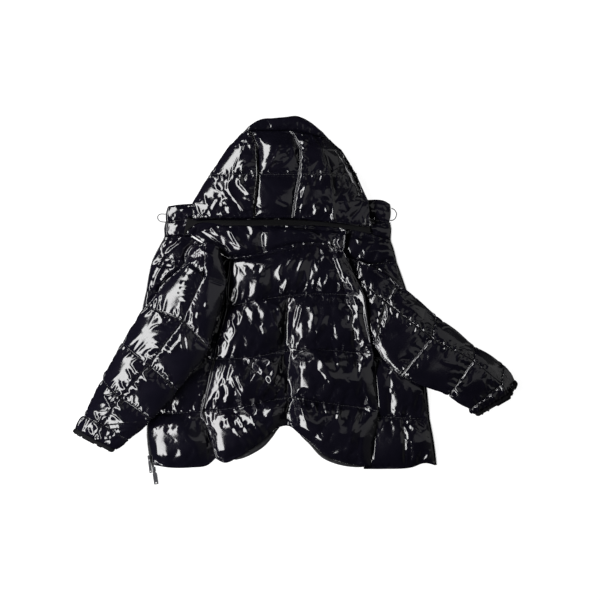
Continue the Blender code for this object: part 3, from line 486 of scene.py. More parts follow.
def even(length):
    """An even number of cloth grid steps along a length."""
    return max(2, 2 * round(length / GRID / 2))


def rows_between(rows, gaps):
    """Each row of a cloth grid: the line above it, how far on it is to the next line, and how
    far on between the two stitched lines round it."""
    stitched = [k for k, row in enumerate(rows) if row.stitched]
    found = []
    for k, steps in enumerate(gaps):
        upper = max(s for s in stitched if s <= k)
        lower = min(s for s in stitched if s > k)
        span = sum(gaps[upper:lower])
        before = sum(gaps[upper:k])
        for step in range(steps):
            found.append((k, step / steps, (before + step) / span))
    found.append((len(rows) - 2, 1.0, 1.0))
    return found


class Solid:
    """A CAD node's surface, to measure heights on, in mm."""
    def __init__(self, node):
        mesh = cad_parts[node].data
        corners = [v.co / MM for v in mesh.vertices]
        self.tree = BVHTree.FromPolygons(corners, [tuple(p.vertices) for p in mesh.polygons])

    def height(self, x, y, from_above):
        """Where a vertical line meets the surface first, or None beside it."""
        start = Vector((x, y, BEYOND if from_above else -BEYOND))
        hit = self.tree.ray_cast(start, Vector((0, 0, -1 if from_above else 1)))[0]
        return hit.z if hit else None

    def near(self, x, y, from_above):
        """The same, and beside the surface the height at its nearest edge."""
        found = self.height(x, y, from_above)
        if found is None:
            spot = self.tree.find_nearest(Vector((x, y, MIDWAY)))[0]
            inward = Vector((spot.x - x, spot.y - y))
            spot = Vector((x, y)) + inward * (1 + INSET / max(inward.length, 1e-6))
            found = self.height(spot.x, spot.y, from_above)
        return found

    def over(self, plan, from_above):
        """The same at each point of a plan, its gaps filled from their neighbours."""
        heights = np.array([[self.near(*point[:2], from_above) for point in row]
                            for row in plan], float)
        while np.isnan(heights).any():
            padded = np.pad(heights, 1, constant_values=np.nan)
            around = np.stack([padded[:-2, 1:-1], padded[2:, 1:-1], padded[1:-1, :-2],
                               padded[1:-1, 2:]])
            mean = np.nanmean(np.where(np.isnan(around).all(axis=0), 0.0, around), axis=0)
            heights = np.where(np.isnan(heights), mean, heights)
        return heights


def smoothed(grid, held, passes):
    """A grid of heights, of which those that aren't held are evened out with their neighbours."""
    for _ in range(passes):
        padded = np.pad(grid, 1, mode="edge")
        mean = (padded[:-2, 1:-1] + padded[2:, 1:-1] + padded[1:-1, :-2] + padded[1:-1, 2:]) / 4
        grid = np.where(held, grid, 0.5 * grid + 0.5 * mean)
    return grid


SOLIDS = {name: Solid(name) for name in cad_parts}


# ---------------------------------------------------------------- cloth sheets

class Sheet:
    """A grid of cloth over its lining, in mm. Held tells which points are held, seams gives
    each row's gathering, and sides the gathering along the first and the last column."""
    def __init__(self, piece, points, held, lining, seams, sides):
        self.node, self.pucker, self.pressure = piece.node, piece.pucker, piece.pressure
        self.folds = FOLDS.get(piece.node) or FOLDS.get(piece.node.rsplit("_", 1)[0], ())
        self.points, self.held, self.lining = points, held, lining
        self.seams, self.sides = seams, sides
        self.start = points.copy()


def nearest_on(line, plan):
    """For each point of a plan, how far it is from a line, and where on the line that is."""
    away = np.linalg.norm(plan[..., None, :2] - line[:, :2], axis=-1)
    return away.min(axis=-1), away.argmin(axis=-1)


def panel_sheet(panel):
    """The upper cloth of a quilted panel, from its sewing lines and its solid's heights."""
    lines, solid = panel.lines, SOLIDS[panel.node]
    middles = [along(line.points, np.linspace(0, 1, 9)) for line in lines]
    wide = np.mean([run_of(middle)[-1] for middle in middles])
    gaps = [even(np.linalg.norm(b - a, axis=1).mean()) for a, b in zip(middles, middles[1:])]
    columns = even(wide)
    u = np.linspace(0, 1, columns + 1)
    drawn = [along(line.points, u) for line in lines]
    plan, held, ends = [], [], []
    for k, t, s in rows_between(lines, gaps):
        row = drawn[k] * (1 - t) + drawn[k + 1] * t
        out = unit(row[-1] - row[0])
        arch = math.sin(math.pi * s)
        row = row - out * panel.bulge[0] * arch * ((1 - u) ** 4)[:, None]
        row = row + out * panel.bulge[1] * arch * (u ** 4)[:, None]
        plan.append(row)
        held.append([s in (0.0, 1.0)] * (columns + 1))
        ends.append([a * (1 - t) + b * t for a, b in
                     ((lines[k].left, lines[k + 1].left), (lines[k].right, lines[k + 1].right))])
    plan, held, ends = np.array(plan), np.array(held), np.array(ends)
    seams = held[:, 0] * 1.0
    seams[0], seams[-1] = panel.gathers[2:]
    border = np.zeros(held.shape, bool)
    border[[0, -1]] = border[:, [0, -1]] = True
    low = solid.over(plan, False)
    top = smoothed(solid.over(plan, True), held | border, EDGE_PASSES)
    thick = smoothed(top - low, False, SPREAD ** 2)
    top = np.where(held, low + panel.share * thick, top)
    edge = np.full(held.shape, EDGE_HEIGHT)
    edge[:, 0], edge[:, -1] = ends.T
    edge[0] = np.maximum(edge[0], np.interp(u, (0, 1), ends[0]))
    edge[-1] = np.maximum(edge[-1], np.interp(u, (0, 1), ends[-1]))
    top = np.where(border, low + edge, top)
    held = held | border
    sides = [np.full(len(plan), weight) for weight in panel.gathers[:2]]
    return Sheet(panel, np.dstack([plan, top]), held, np.dstack([plan, low]), seams, sides)


def tube_sheet(tube):
    """The outer cloth of one half of a flattened tube, from its top seam round to its lower."""
    stations, solid = tube.stations, SOLIDS[tube.node]
    base = TUBE_OVER[-1][1]
    profile = [(out, (base + (1 - base) * ((up - base) / (1 - base)) ** tube.round)
                * (1 - tube.tilt * (1 - out))) for out, up in TUBE_OVER]
    profile += [(out * tube.under_share, up * (1 - tube.tilt)) for out, up in TUBE_UNDER]
    widths = [math.dist(s.fold, s.seam) for s in stations]
    round_length = 1.75 * np.mean(widths) + 1.2 * np.mean([s.height for s in stations])
    columns = even(round_length)
    shape = along(profile, np.linspace(0, 1, columns + 1))
    middles = [(np.array(s.fold) + np.array(s.seam)) / 2 for s in stations]
    gaps = [even(np.linalg.norm(b - a)) for a, b in zip(middles, middles[1:])]
    stitched = [n for n, station in enumerate(stations) if station.stitched]
    lofty = np.interp(range(len(stations)), stitched, [stations[n].loft for n in stitched])
    lofty[-1] = 0.5 * stations[stitched[-2]].loft
    plan, inside, tops, lofts, held = [], [], [], [], []
    for k, t, s in rows_between(stations, gaps):
        a, b = stations[k], stations[k + 1]
        upper = max(n for n in range(k + 1) if stations[n].stitched)
        fold = np.array(a.fold) * (1 - t) + np.array(b.fold) * t
        across = np.array(a.seam) * (1 - t) + np.array(b.seam) * t - fold
        arch = math.sin(math.pi * s) if s not in (0.0, 1.0) else 0.0
        width = np.linalg.norm(across)
        across, wide = across / width, width - SEAM_GAP
        out = shape[:, :1]
        plan.append(fold + across * (out * wide - TUBE_BULGE * arch * (1 - out) ** 4))
        thick = min(tube.wall, WALL_SHARE * width)
        inside.append(fold + across * (thick + out * (wide - thick)))
        even_loft = lofty[k] * (1 - t) + lofty[k + 1] * t
        tops.append(a.height * (1 - t) + b.height * t + TUBE_SHARE * even_loft)
        lofts.append((1 - TUBE_SHARE) * stations[upper].loft * arch ** 0.6)
        held.append([s in (0.0, 1.0)] * (columns + 1))
    plan, held = np.array(plan), np.array(held)
    low = solid.over(plan, False)
    out, up = shape[:, 0], np.clip(shape[:, 1], 0, 1)
    turn = int(np.argmin(shape[:, 0]))
    part = np.clip(out, 0, 1)
    domed = tube.sewn * np.sin(math.pi * part) ** 0.5
    domed += (1 - tube.sewn) * np.sin(0.5 * math.pi * part) ** 0.5
    puff = np.where(np.arange(columns + 1) < turn, domed, up * 0.5)
    standing = np.array(tops)[:, None] - low
    top = low + up * standing + np.array(lofts)[:, None] * puff
    flat = np.broadcast_to(up < 0.02, held.shape) & (np.arange(columns + 1) > turn)
    seams = held[:, 0] * 1.0
    seams[0] = END_GATHER
    held = held | flat
    held[:, 0] = held[:, -1] = held[0] = held[-1] = True
    thick = np.minimum(tube.wall, WALL_SHARE * standing)
    lining = np.dstack([np.array(inside), low + thick + up * (standing - 2 * thick)])
    gathered = np.interp(plan[:, 0, 1], *SEAM_GATHERS.get(tube.node, EVEN_GATHERS))
    sides = (gathered + LEAST_GATHER, np.full(len(plan), LEAST_GATHER))
    return Sheet(tube, np.dstack([plan, top]), held, lining, seams, sides)


def faces_of(rows, columns, closed_down=False, closed_across=False):
    """The faces of a grid of points, closed round to its first row or column where asked."""
    down = [(i, (i + 1) % rows) for i in range(rows if closed_down else rows - 1)]
    across = [(j, (j + 1) % columns) for j in range(columns if closed_across else columns - 1)]
    return [(i * columns + j, i * columns + right, below * columns + right, below * columns + j)
            for i, below in down for j, right in across]


def placed(name, data):
    """A new object of some data, in the scene."""
    item = bpy.data.objects.new(name, data)
    bpy.context.collection.objects.link(item)
    return item


def as_cloth(sheet):
    """The sheet as a cloth object that the simulation will puff up."""
    rows, columns = sheet.held.shape
    mesh = bpy.data.meshes.new(f"{sheet.node} cloth")
    mesh.from_pydata([tuple(p * MM) for p in sheet.points.reshape(-1, 3)], [],
                     faces_of(rows, columns))
    item = placed(mesh.name, mesh)
    if sum(p.normal.z for p in mesh.polygons) < 0:
        mesh.flip_normals()
    stitched = item.vertex_groups.new(name="stitched")
    stitched.add(np.flatnonzero(sheet.held.reshape(-1)).tolist(), 1.0, "REPLACE")
    cloth = item.modifiers.new("cloth", "CLOTH")
    settings = cloth.settings
    settings.vertex_group_mass = "stitched"
    settings.pin_stiffness = 1.0
    settings.quality = 5
    settings.mass = 0.15
    settings.air_damping = 2.0
    settings.tension_stiffness = settings.compression_stiffness = 15
    settings.shear_stiffness = 5
    settings.bending_stiffness = 0.1
    settings.use_pressure = True
    settings.uniform_pressure_force = sheet.pressure
    settings.shrink_min = settings.shrink_max = -SPARE
    settings.effector_weights.gravity = 0
    cloth.collision_settings.use_collision = False
    cloth.point_cache.frame_start = 1
    cloth.point_cache.frame_end = FRAMES
    return item


def simulate(sheets):
    """Puff up all the sheets side by side, and read their points back."""
    clothes = [as_cloth(sheet) for sheet in sheets]
    scene = bpy.context.scene
    scene.frame_start, scene.frame_end = 1, FRAMES
    for number in range(1, FRAMES + 1):
        scene.frame_set(number)
    graph = bpy.context.evaluated_depsgraph_get()
    for sheet, item in zip(sheets, clothes):
        done = item.evaluated_get(graph).to_mesh()
        flat = np.empty(len(done.vertices) * 3, np.float32)
        done.vertices.foreach_get("co", flat)
        sheet.points = flat.reshape(sheet.points.shape).astype(float) / MM
        item.evaluated_get(graph).to_mesh_clear()
        bpy.data.objects.remove(item, do_unlink=True)
    scene.frame_set(1)


def finer(grid):
    """The grid at twice its fineness, on a smooth surface through its points."""
    for axis in (0, 1):
        g = np.moveaxis(grid, axis, 0)
        ends = np.concatenate([2 * g[:1] - g[1:2], g, 2 * g[-1:] - g[-2:-1]])
        halves = (9 * (ends[1:-2] + ends[2:-1]) - ends[:-3] - ends[3:]) / 16
        out = np.empty((2 * len(g) - 1,) + g.shape[1:])
        out[::2], out[1::2] = g, halves
        grid = np.moveaxis(out, 0, axis)
    return grid


def reach(grid, axis):
    """How far along the cloth each point of a grid is from its first row or column, in mm."""
    steps = np.linalg.norm(np.diff(grid, axis=axis), axis=2)
    return np.insert(np.cumsum(steps, axis=axis), 0, 0.0, axis=axis)


def closed(name, outer, lining, finishes):
    """A closed padded body between its fine outer cloth and its coarse lining, in the finish
    of each."""
    rows, columns = outer.shape[:2]
    across, down = reach(outer, 1), reach(outer, 0)
    maps = [np.dstack([across, down]).reshape(-1, 2)]
    lining = lining[::COARSE, ::COARSE]
    low_rows, low_columns = lining.shape[:2]
    maps.append(np.dstack([reach(lining, 1), reach(lining, 0)]).reshape(-1, 2))
    base = rows * columns
    points = np.concatenate([outer.reshape(-1, 3), lining.reshape(-1, 3)]) * MM
    faces = faces_of(rows, columns)
    outer_faces = len(faces)
    faces += [tuple(base + k for k in face[::-1]) for face in faces_of(low_rows, low_columns)]
    cloth_faces = len(faces)
    for i in range(low_rows - 1):
        for side, column in ((0, 0), (1, low_columns - 1)):
            fine = [(COARSE * i + k) * columns + COARSE * column for k in range(COARSE + 1)]
            rim = fine + [base + (i + 1) * low_columns + column, base + i * low_columns + column]
            faces.append(tuple(rim if side == 0 else rim[::-1]))
    for j in range(low_columns - 1):
        for side, row in ((0, 0), (1, low_rows - 1)):
            fine = [COARSE * row * columns + COARSE * j + k for k in range(COARSE + 1)]
            rim = fine + [base + row * low_columns + j + 1, base + row * low_columns + j]
            faces.append(tuple(rim[::-1] if side == 0 else rim))
    item = mesh_piece(name, points, faces, finishes, np.concatenate(maps) * MM)
    item.data.polygons.foreach_set("material_index", [
        int(outer_faces <= k < cloth_faces) for k in range(len(faces))])
    return item


def mesh_piece(name, points, faces, finishes, cloth_map=None):
    """An object from its points in metres and its faces, facing outwards, with its finishes,
    and where it is cloth, the place of each point on the cloth as a UV map."""
    mesh = bpy.data.meshes.new(name)
    mesh.from_pydata([tuple(p) for p in points], [], faces)
    shell = bmesh.new()
    shell.from_mesh(mesh)
    bmesh.ops.recalc_face_normals(shell, faces=shell.faces)
    shell.to_mesh(mesh)
    shell.free()
    if cloth_map is not None:
        corners = np.empty(len(mesh.loops), np.int32)
        mesh.loops.foreach_get("vertex_index", corners)
        mesh.uv_layers.new(name="cloth").data.foreach_set("uv", cloth_map[corners].reshape(-1))
    mesh.shade_smooth()
    for surface in finishes:
        mesh.materials.append(surface)
    return placed(name, mesh)


def fit(item, slot, *nodes):
    """A piece that rides on the jacket, in place of CAD nodes if any. Its slot is not used."""
    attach(item, BODY)
    if nodes:
        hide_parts(*nodes)
    return item


# ---------------------------------------------------------------- puckers and folds

def crumple(across, down, seed):
    """Smooth random heights from -1 to 1 over the cloth, with one wave to each unit."""
    random = np.random.default_rng(seed).uniform(-1, 1, (64, 64))
    i, j = np.floor(across).astype(int), np.floor(down).astype(int)
    s, t = across - i, down - j
    s, t = s * s * (3 - 2 * s), t * t * (3 - 2 * t)
    near = random[i % 64, j % 64] * (1 - s) + random[(i + 1) % 64, j % 64] * s
    far = random[i % 64, (j + 1) % 64] * (1 - s) + random[(i + 1) % 64, (j + 1) % 64] * s
    return near * (1 - t) + far * t


def normals(grid):
    """Unit vectors out of a grid, upwards on its first row's middle."""
    found = np.cross(np.gradient(grid, axis=1), np.gradient(grid, axis=0))
    found /= np.maximum(np.linalg.norm(found, axis=2, keepdims=True), 1e-9)
    return found * (1 if found[1:-1, 1:3, 2].mean() > 0 else -1)


def gathers(away, beside, pucker, weight, seed):
    """Folds that run out from a seam to both sides: drawn in where the thread pulls, opening
    and dying away as they go. Away is negative on one side of the seam."""
    pitch, length, height = pucker
    random = np.random.default_rng(seed)
    lift = np.zeros(away.shape)
    near = (np.abs(away) < 1.5 * length) & (weight > 0.0)
    if not near.any():
        return lift
    away, beside, found = away[near], beside[near], np.zeros(near.sum())
    first, last = beside.min(), beside.max()
    for side in (-1, 1):
        spot = first + random.uniform(0.2, 0.8) * pitch
        while spot < last:
            t = side * away / (length * random.uniform(0.45, 1.45))
            lean = random.uniform(-0.35, 0.35)
            wide = pitch * random.uniform(0.26, 0.4)
            size = height * random.choice((0.25, 0.5, 0.8, 1.1, 1.3))
            off = np.abs(beside - spot - lean * np.abs(away)) / (wide * (0.7 + 0.3 * t.clip(0, 1)))
            rise = np.sin(math.pi * t.clip(0, 1) ** 0.6)
            found += size * rise * np.exp(-off ** 1.6)
            spot += pitch * random.uniform(0.6, 1.5)
    lift[near] = found
    return lift * weight


def puckered(grid, sheet, seams, sides, seed):
    """The cloth gathered into small folds that run out from each seam, and creased lightly,
    with its larger folds laid on it one by one."""
    across, down = reach(grid, 1), reach(grid, 0)
    waves = across / CREASE_LENGTHS[0], down / CREASE_LENGTHS[1]
    lift = CREASE_HEIGHT * crumple(*waves, seed + 50)
    for scale, pucker in enumerate((sheet.pucker, FINE_PUCKER)):
        for row in np.flatnonzero(seams):
            lift += gathers(down - down[row], across, pucker, seams[row], seed + row + 40 * scale)
        for side, weight in zip((0, -1), sides):
            if weight.any():
                lift += gathers(across - across[:, [side]], down, pucker,
                                np.broadcast_to(weight[:, None], across.shape),
                                seed + 90 + side + 40 * scale)
    for side, weight in zip((0, -1), sides):
        if not weight.any():
            away = np.abs(across - across[:, [side]])
            roll = grid[:, [side], 2] + ROLL_SLOPE * away + (away / ROLL_WIDTH) ** 6
            meeting = np.exp(-grid[..., 2] / ROLL_BLEND) + np.exp(-roll / ROLL_BLEND)
            grid[..., 2] = -ROLL_BLEND * np.log(meeting)
            lift *= (away / ROLL_WIDTH - ROLL_CALM).clip(0, 1)
    out, sag = normals(grid), np.zeros(grid.shape[:2])
    for width, height, *points in sheet.folds:
        line = along(np.reshape(points, (-1, 2)), np.linspace(0, 1, FOLD_POINTS))
        beside = ((grid[..., :2] > line.min(axis=0) - FOLD_REACH * width)
                  & (grid[..., :2] < line.max(axis=0) + FOLD_REACH * width)).all(axis=2)
        away, spot = nearest_on(line, grid[beside])
        fade = np.sin(math.pi * (spot + 0.5) / len(line)) ** 0.7
        raised = sag if width >= SAG_WIDTH else lift
        raised[beside] += height * fade * np.exp(-(away / width) ** 1.7)
    grid[..., 2] += sag * out[..., 2].clip(0, 1) ** 0.5
    return grid + normals(grid) * lift[..., None]


def covering(nodes, plan):
    """The height of the lowest of some nodes over each point of a plan, or far above it."""
    heights = np.full(plan.shape[:2], BEYOND)
    for node in nodes:
        low, high = np.array(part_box(node)) / MM
        inside = (plan[..., :2] > low[:2]) & (plan[..., :2] < high[:2])
        for i, j in np.argwhere(inside.all(axis=2)):
            found = SOLIDS[node].height(*plan[i, j, :2], False)
            if found is not None:
                heights[i, j] = min(heights[i, j], found)
    return heights


def kept_in(sheet):
    """The puffed cloth, kept within reach of where it was."""
    moved = sheet.points - sheet.start
    far = np.linalg.norm(moved, axis=2, keepdims=True)
    return sheet.start + moved * np.minimum(1, MOVE_MOST / np.maximum(far, 1e-6))


def layered(outer, sheet):
    """The finished cloth, kept over the floor, and a panel's also over its lining and under
    what lies on it."""
    if sheet.node in COVERED:
        roof = covering(COVERED[sheet.node], outer[::2, ::2]) - LAYER_CLEAR
        for axis in (0, 1):
            side = np.moveaxis(roof, axis, 0)
            wide = np.empty((2 * len(side) - 1,) + side.shape[1:])
            wide[::2], wide[1::2] = side, np.minimum(side[1:], side[:-1])
            roof = np.moveaxis(wide, 0, axis)
        floor = finer(sheet.lining)[..., 2]
        outer[..., 2] = np.maximum(np.minimum(outer[..., 2], roof), floor + WALL_LEAST)
    outer[..., 2] = np.maximum(outer[..., 2], 0.0)
    return outer


# ---------------------------------------------------------------- what repeats

def spots_along(line, pitch):
    """Places on a line at an even pitch: each place and the line's direction there."""
    run = run_of(line)
    at = np.arange(pitch / 2, run[-1], pitch)
    behind, found, ahead = (laid_out(line, run, at + step) for step in (-0.5, 0, 0.5))
    return found, ahead - behind


def repeated(name, unit, frames, surface):
    """Copies of a small mesh, one at each frame, as one piece. The frames are in mm."""
    corners = np.array([tuple(v.co) for v in unit.data.vertices])
    sides = [tuple(p.vertices) for p in unit.data.polygons]
    points, faces = [], []
    for rows, place in frames:
        base = len(points) * len(corners)
        points.append(corners @ np.array(rows) + place * MM)
        faces += [tuple(base + k for k in side) for side in sides]
    return mesh_piece(name, np.concatenate(points), faces, [surface])


def axes(run, up):
    """Rows of a frame whose Y runs along a direction and whose Z is nearest to up."""
    y = unit(run)
    x = unit(np.cross(y, up))
    return np.array([x, y, np.cross(x, y)])


def only(kind, name, **shape):
    """A new primitive, the only thing selected."""
    bpy.ops.object.select_all(action="DESELECT")
    getattr(bpy.ops.mesh, f"primitive_{kind}_add")(**shape)
    item = bpy.context.active_object
    item.name = item.data.name = name
    return item


def settle():
    """Put the selected primitive's place, turn and size into its mesh."""
    bpy.ops.object.transform_apply(location=True, rotation=True, scale=True)


def edit_only(parts, chosen):
    """Go into edit mode with only the chosen faces or edges of the active mesh selected."""
    bpy.ops.object.mode_set(mode="EDIT")
    bpy.ops.mesh.select_all(action="DESELECT")
    bpy.ops.object.mode_set(mode="OBJECT")
    for part in parts:
        part.select = chosen(part)
    bpy.ops.object.mode_set(mode="EDIT")


def stitch_unit():
    """One stitch of thread, along Y: thick in the middle and sunk at both ends."""
    item = only("cylinder", "stitch unit", vertices=6, radius=STITCH_RADIUS * MM, depth=1.0,
                end_fill_type="TRIFAN", rotation=(math.pi / 2, 0, 0))
    item.scale = (1, 1, STITCH_LENGTH * MM)
    settle()
    half = STITCH_LENGTH / 2 * MM
    corners = item.data.vertices

    def runs_along(edge):
        first, last = (corners[k].co.y for k in edge.vertices)
        return abs(first - last) > half

    edit_only(item.data.edges, runs_along)
    bpy.ops.mesh.subdivide(number_cuts=2)
    bpy.ops.object.mode_set(mode="OBJECT")
    for v in item.data.vertices:
        t = abs(v.co.y) / half
        v.co.z -= STITCH_SINK * MM * t ** 2
        v.co.x *= 1 - 0.3 * t
    return item


def tooth_unit():
    """One moulded zip tooth: a foot that grips the tape along X, and a waisted head."""
    item = only("cube", "tooth unit", size=1.0, location=(TOOTH_FOOT_OUT * MM, 0, 0))
    item.scale = [size * MM for size in TOOTH_FOOT]
    settle()
    edit_only(item.data.polygons, lambda face: face.normal.x > 0.9)
    for length, widths in ((TOOTH_NECK, (1, 0.6, 0.7)), (TOOTH_HEAD, (1, 1.5, 1.1))):
        bpy.ops.mesh.extrude_region_move(TRANSFORM_OT_translate={"value": (length * MM, 0, 0)})
        bpy.ops.transform.resize(value=widths)
    bpy.ops.object.mode_set(mode="OBJECT")
    rounding = item.modifiers.new("rounding", "BEVEL")
    rounding.width = TOOTH_ROUNDING * MM
    rounding.segments = 1
    bpy.ops.object.modifier_apply(modifier="rounding")
    return item


# ---------------------------------------------------------------- finishes

class Value:
    """A socket of a tree of nodes that Python arithmetic can use."""
    def __init__(self, nodes, socket):
        self.nodes, self.socket = nodes, socket

    def math(self, operation, *others):
        return self.nodes.math(operation, self, *others)

    def __add__(self, other):
        return self.math("ADD", other)

    def __mul__(self, other):
        return self.math("MULTIPLY", other)

    def __sub__(self, other):
        return self.math("SUBTRACT", other)

    def __rsub__(self, other):
        return self.nodes.math("SUBTRACT", other, self)

    __radd__, __rmul__ = __add__, __mul__


class Nodes:
    """A tree of shader nodes, to which they are added one by one."""
    def __init__(self, tree):
        self.tree = tree

    def link(self, socket, value):
        if isinstance(value, Value):
            self.tree.links.new(value.socket, socket)
        else:
            socket.default_value = value

    def node(self, kind, settings, sockets, output=0):
        """A node of a type, with its settings, and the values or links of its sockets."""
        made = self.tree.nodes.new(f"ShaderNode{kind}")
        for name, value in settings.items():
            setattr(made, name, value)
        for key, value in sockets.items():
            self.link(made.inputs[key], value)
        return Value(self, made.outputs[output])

    def math(self, operation, *values):
        return self.node("Math", {"operation": operation}, dict(enumerate(values)))

    def part(self, place, axis):
        return self.node("SeparateXYZ", {}, {"Vector": place}, axis)


class Finish(Nodes):
    """A material: its pattern's nodes, and what is set on its shader."""
    def __init__(self, name, **constant):
        self.material = bpy.data.materials.new(name)
        self.material.use_nodes = True
        super().__init__(self.material.node_tree)
        self.shader = self.tree.nodes["Principled BSDF"]
        self.set(**constant)

    def place(self, output="Object"):
        return self.node("TexCoord", {}, {}, output)

    def noise(self, place, scale, detail=3.0, roughness=0.5):
        return self.node("TexNoise", {}, {
            "Vector": place, "Scale": scale, "Detail": detail, "Roughness": roughness})

    def stretched(self, place, scale, turn):
        return self.node("Mapping", {}, {"Vector": place, "Scale": scale, "Rotation": turn})

    def weave(self, place, pitch):
        """Crossing threads, from 0 to 1, each pitch metres apart."""
        sides = [(self.part(place, axis) * (math.pi / pitch)).math("SINE") for axis in (0, 1)]
        return (sides[0] * sides[1]).math("ABSOLUTE")

    def between(self, share, low, high):
        return self.node("Mix", {"data_type": "RGBA"}, {
            "Factor": share, 6: (*low, 1.0), 7: (*high, 1.0)}, 2)

    def bump(self, height, distance, strength, under=None):
        sockets = {"Height": height, "Distance": distance, "Strength": strength}
        if under is not None:
            sockets["Normal"] = under
        return self.node("Bump", {}, sockets)

    def set(self, **values):
        for name, value in values.items():
            self.link(self.shader.inputs[name.replace("_", " ")], value)
        return self.material


def nylon(name, dark=(0.0012, 0.0012, 0.0026), light=(0.0035, 0.003, 0.006), gloss=0.13):
    """Wet-look nylon: a close weave under a smooth coating that creases finely."""
    finish = Finish(name, Specular_IOR_Level=0.5)
    cloth, place = finish.place("UV"), finish.place()
    cloud = finish.noise(place, 22.0)
    creases = finish.noise(cloth, 75.0, 2.0, 0.4)
    fine = finish.noise(finish.stretched(cloth, (1.0, 0.5, 1.0), (0, 0, 0.6)), 260.0, 2.0)
    normal = finish.bump(creases, 0.8 * MM, 0.12)
    normal = finish.bump(fine, 0.12 * MM, 0.2, normal)
    normal = finish.bump(finish.weave(cloth, 0.5 * MM), 0.02 * MM, 0.3, normal)
    return finish.set(Base_Color=finish.between(cloud, dark, light), Normal=normal,
                      Roughness=(gloss - 0.05) + cloud * 0.09)


def matte_weave(name, dark, light, pitch, roughness):
    """Matte woven tape or binding: its raised threads painted lighter than the hollows between
    them, which is painted shade, and its tone varied at random as slight wear.
    """
    finish = Finish(name, Sheen_Weight=0.01, Sheen_Roughness=0.5, Specular_IOR_Level=0.06)
    cloth, place = finish.place("UV"), finish.place()
    turned = finish.stretched(cloth, (1, 1, 1), (0, 0, math.pi / 4))
    threads = finish.weave(turned, pitch)
    cloud = finish.noise(place, 60.0, 4.0)
    # Partly painted shade, darker in the hollows between the raised threads, and partly tone that
    # varies at random.
    share = threads * 0.6 + cloud * 0.4
    return finish.set(Base_Color=finish.between(share, dark, light),
                      Roughness=roughness - 0.12 + cloud * 0.2,
                      Normal=finish.bump(threads, 0.12 * MM, 0.8))


def hardware(name):
    """Dark plated zinc, its edges and faces rubbed by use."""
    finish = Finish(name, Metallic=0.9)
    place = finish.place()
    rubbed = finish.noise(place, 900.0, 4.0, 0.6)
    scratches = finish.noise(finish.stretched(place, (1, 12, 1), (0, 0, 0.5)), 700.0, 2.0)
    return finish.set(Base_Color=finish.between(rubbed, (0.03, 0.03, 0.034), (0.11, 0.11, 0.12)),
                      Roughness=0.24 + rubbed * 0.2,
                      Normal=finish.bump(scratches, 0.05 * MM, 0.5))


def moulded(name):
    """Black moulded plastic with a slight grain."""
    finish = Finish(name)
    grain = finish.noise(finish.place(), 2500.0, 2.0)
    colour = finish.between(grain, (0.006, 0.006, 0.007), (0.014, 0.014, 0.015))
    return finish.set(Base_Color=colour, Roughness=0.3 + grain * 0.15,
                      Normal=finish.bump(grain, 0.03 * MM, 0.4))


def twisted(name, colour, pitch, roughness):
    """Thread or cord: strands that wind round it, painted lighter on their crests and darker in the
    grooves between them, as painted highlight and painted shade.
    """
    finish = Finish(name, Sheen_Weight=0.2)
    place = finish.place()
    wound = finish.part(place, 0) + finish.part(place, 1) * 0.6 + finish.part(place, 2) * 1.3
    strands = (wound * (math.pi / pitch)).math("SINE").math("ABSOLUTE")
    # Painted highlight and painted shade: the colour is lighter where the strands rise and darker
    # in the grooves between them, following the bump.
    light = tuple(2.2 * part for part in colour)
    return finish.set(Base_Color=finish.between(strands, colour, light),
                      Roughness=roughness - strands * 0.08,
                      Normal=finish.bump(strands, 0.2 * MM, 0.6))


# ---------------------------------------------------------------- camera and cords

lens = bpy.data.cameras.new("camera")
lens.lens, lens.sensor_width, lens.clip_end = 121.6, 36, 100
camera = placed("camera", lens)
camera.location = (0.0135, 0.00135, 5.5)
bpy.context.scene.camera = camera

CORD_FINISH = twisted("black elastic cord", (0.006, 0.006, 0.007), 0.9 * MM, 0.6)
for side, route in CORDS.items():
    drawn = along(route, np.linspace(0, 1, CORD_POINTS)) * MM
    line = bpy.data.curves.new(f"collar_cord_{side}_loop", "CURVE")
    line.dimensions = "3D"
    line.bevel_depth = CORD_DIAMETER / 2 * MM
    line.bevel_resolution = 4
    line.use_fill_caps = True
    spline = line.splines.new("POLY")
    spline.points.add(len(drawn) - 1)
    for spot, point in zip(spline.points, drawn):
        spot.co = (*point, 1.0)
    line.materials.append(CORD_FINISH)
    loop = placed(line.name, line)
    fit(loop, "cord", f"collar_cord_{side}")
    tuple(drawn[0])

# ---------------------------------------------------------------- padded cloth

SHELL = nylon("glossy black nylon")
LINING = nylon("black lining", (0.004, 0.004, 0.005), (0.008, 0.008, 0.01), 0.4)
THREAD = twisted("black thread", (0.008, 0.008, 0.01), 0.5 * MM, 0.45)


def stitching(outer, seams):
    """The frame of each stitch along the sewn rows of a finished cloth, in mm."""
    upwards, frames = normals(outer), []
    for row in np.flatnonzero(seams[1:-1]) + 1:
        shows = outer[row, 1:-1, 2] > STITCH_LOWEST
        shown, upward = outer[row, 1:-1][shows], upwards[row, 1:-1][shows]
        for spot, run in zip(*spots_along(shown + STITCH_LIFT * upward, STITCH_PITCH)):
            nearest = np.argmin(np.linalg.norm(shown - spot, axis=1))
            frames.append((axes(run, upward[nearest]), spot))
    return frames


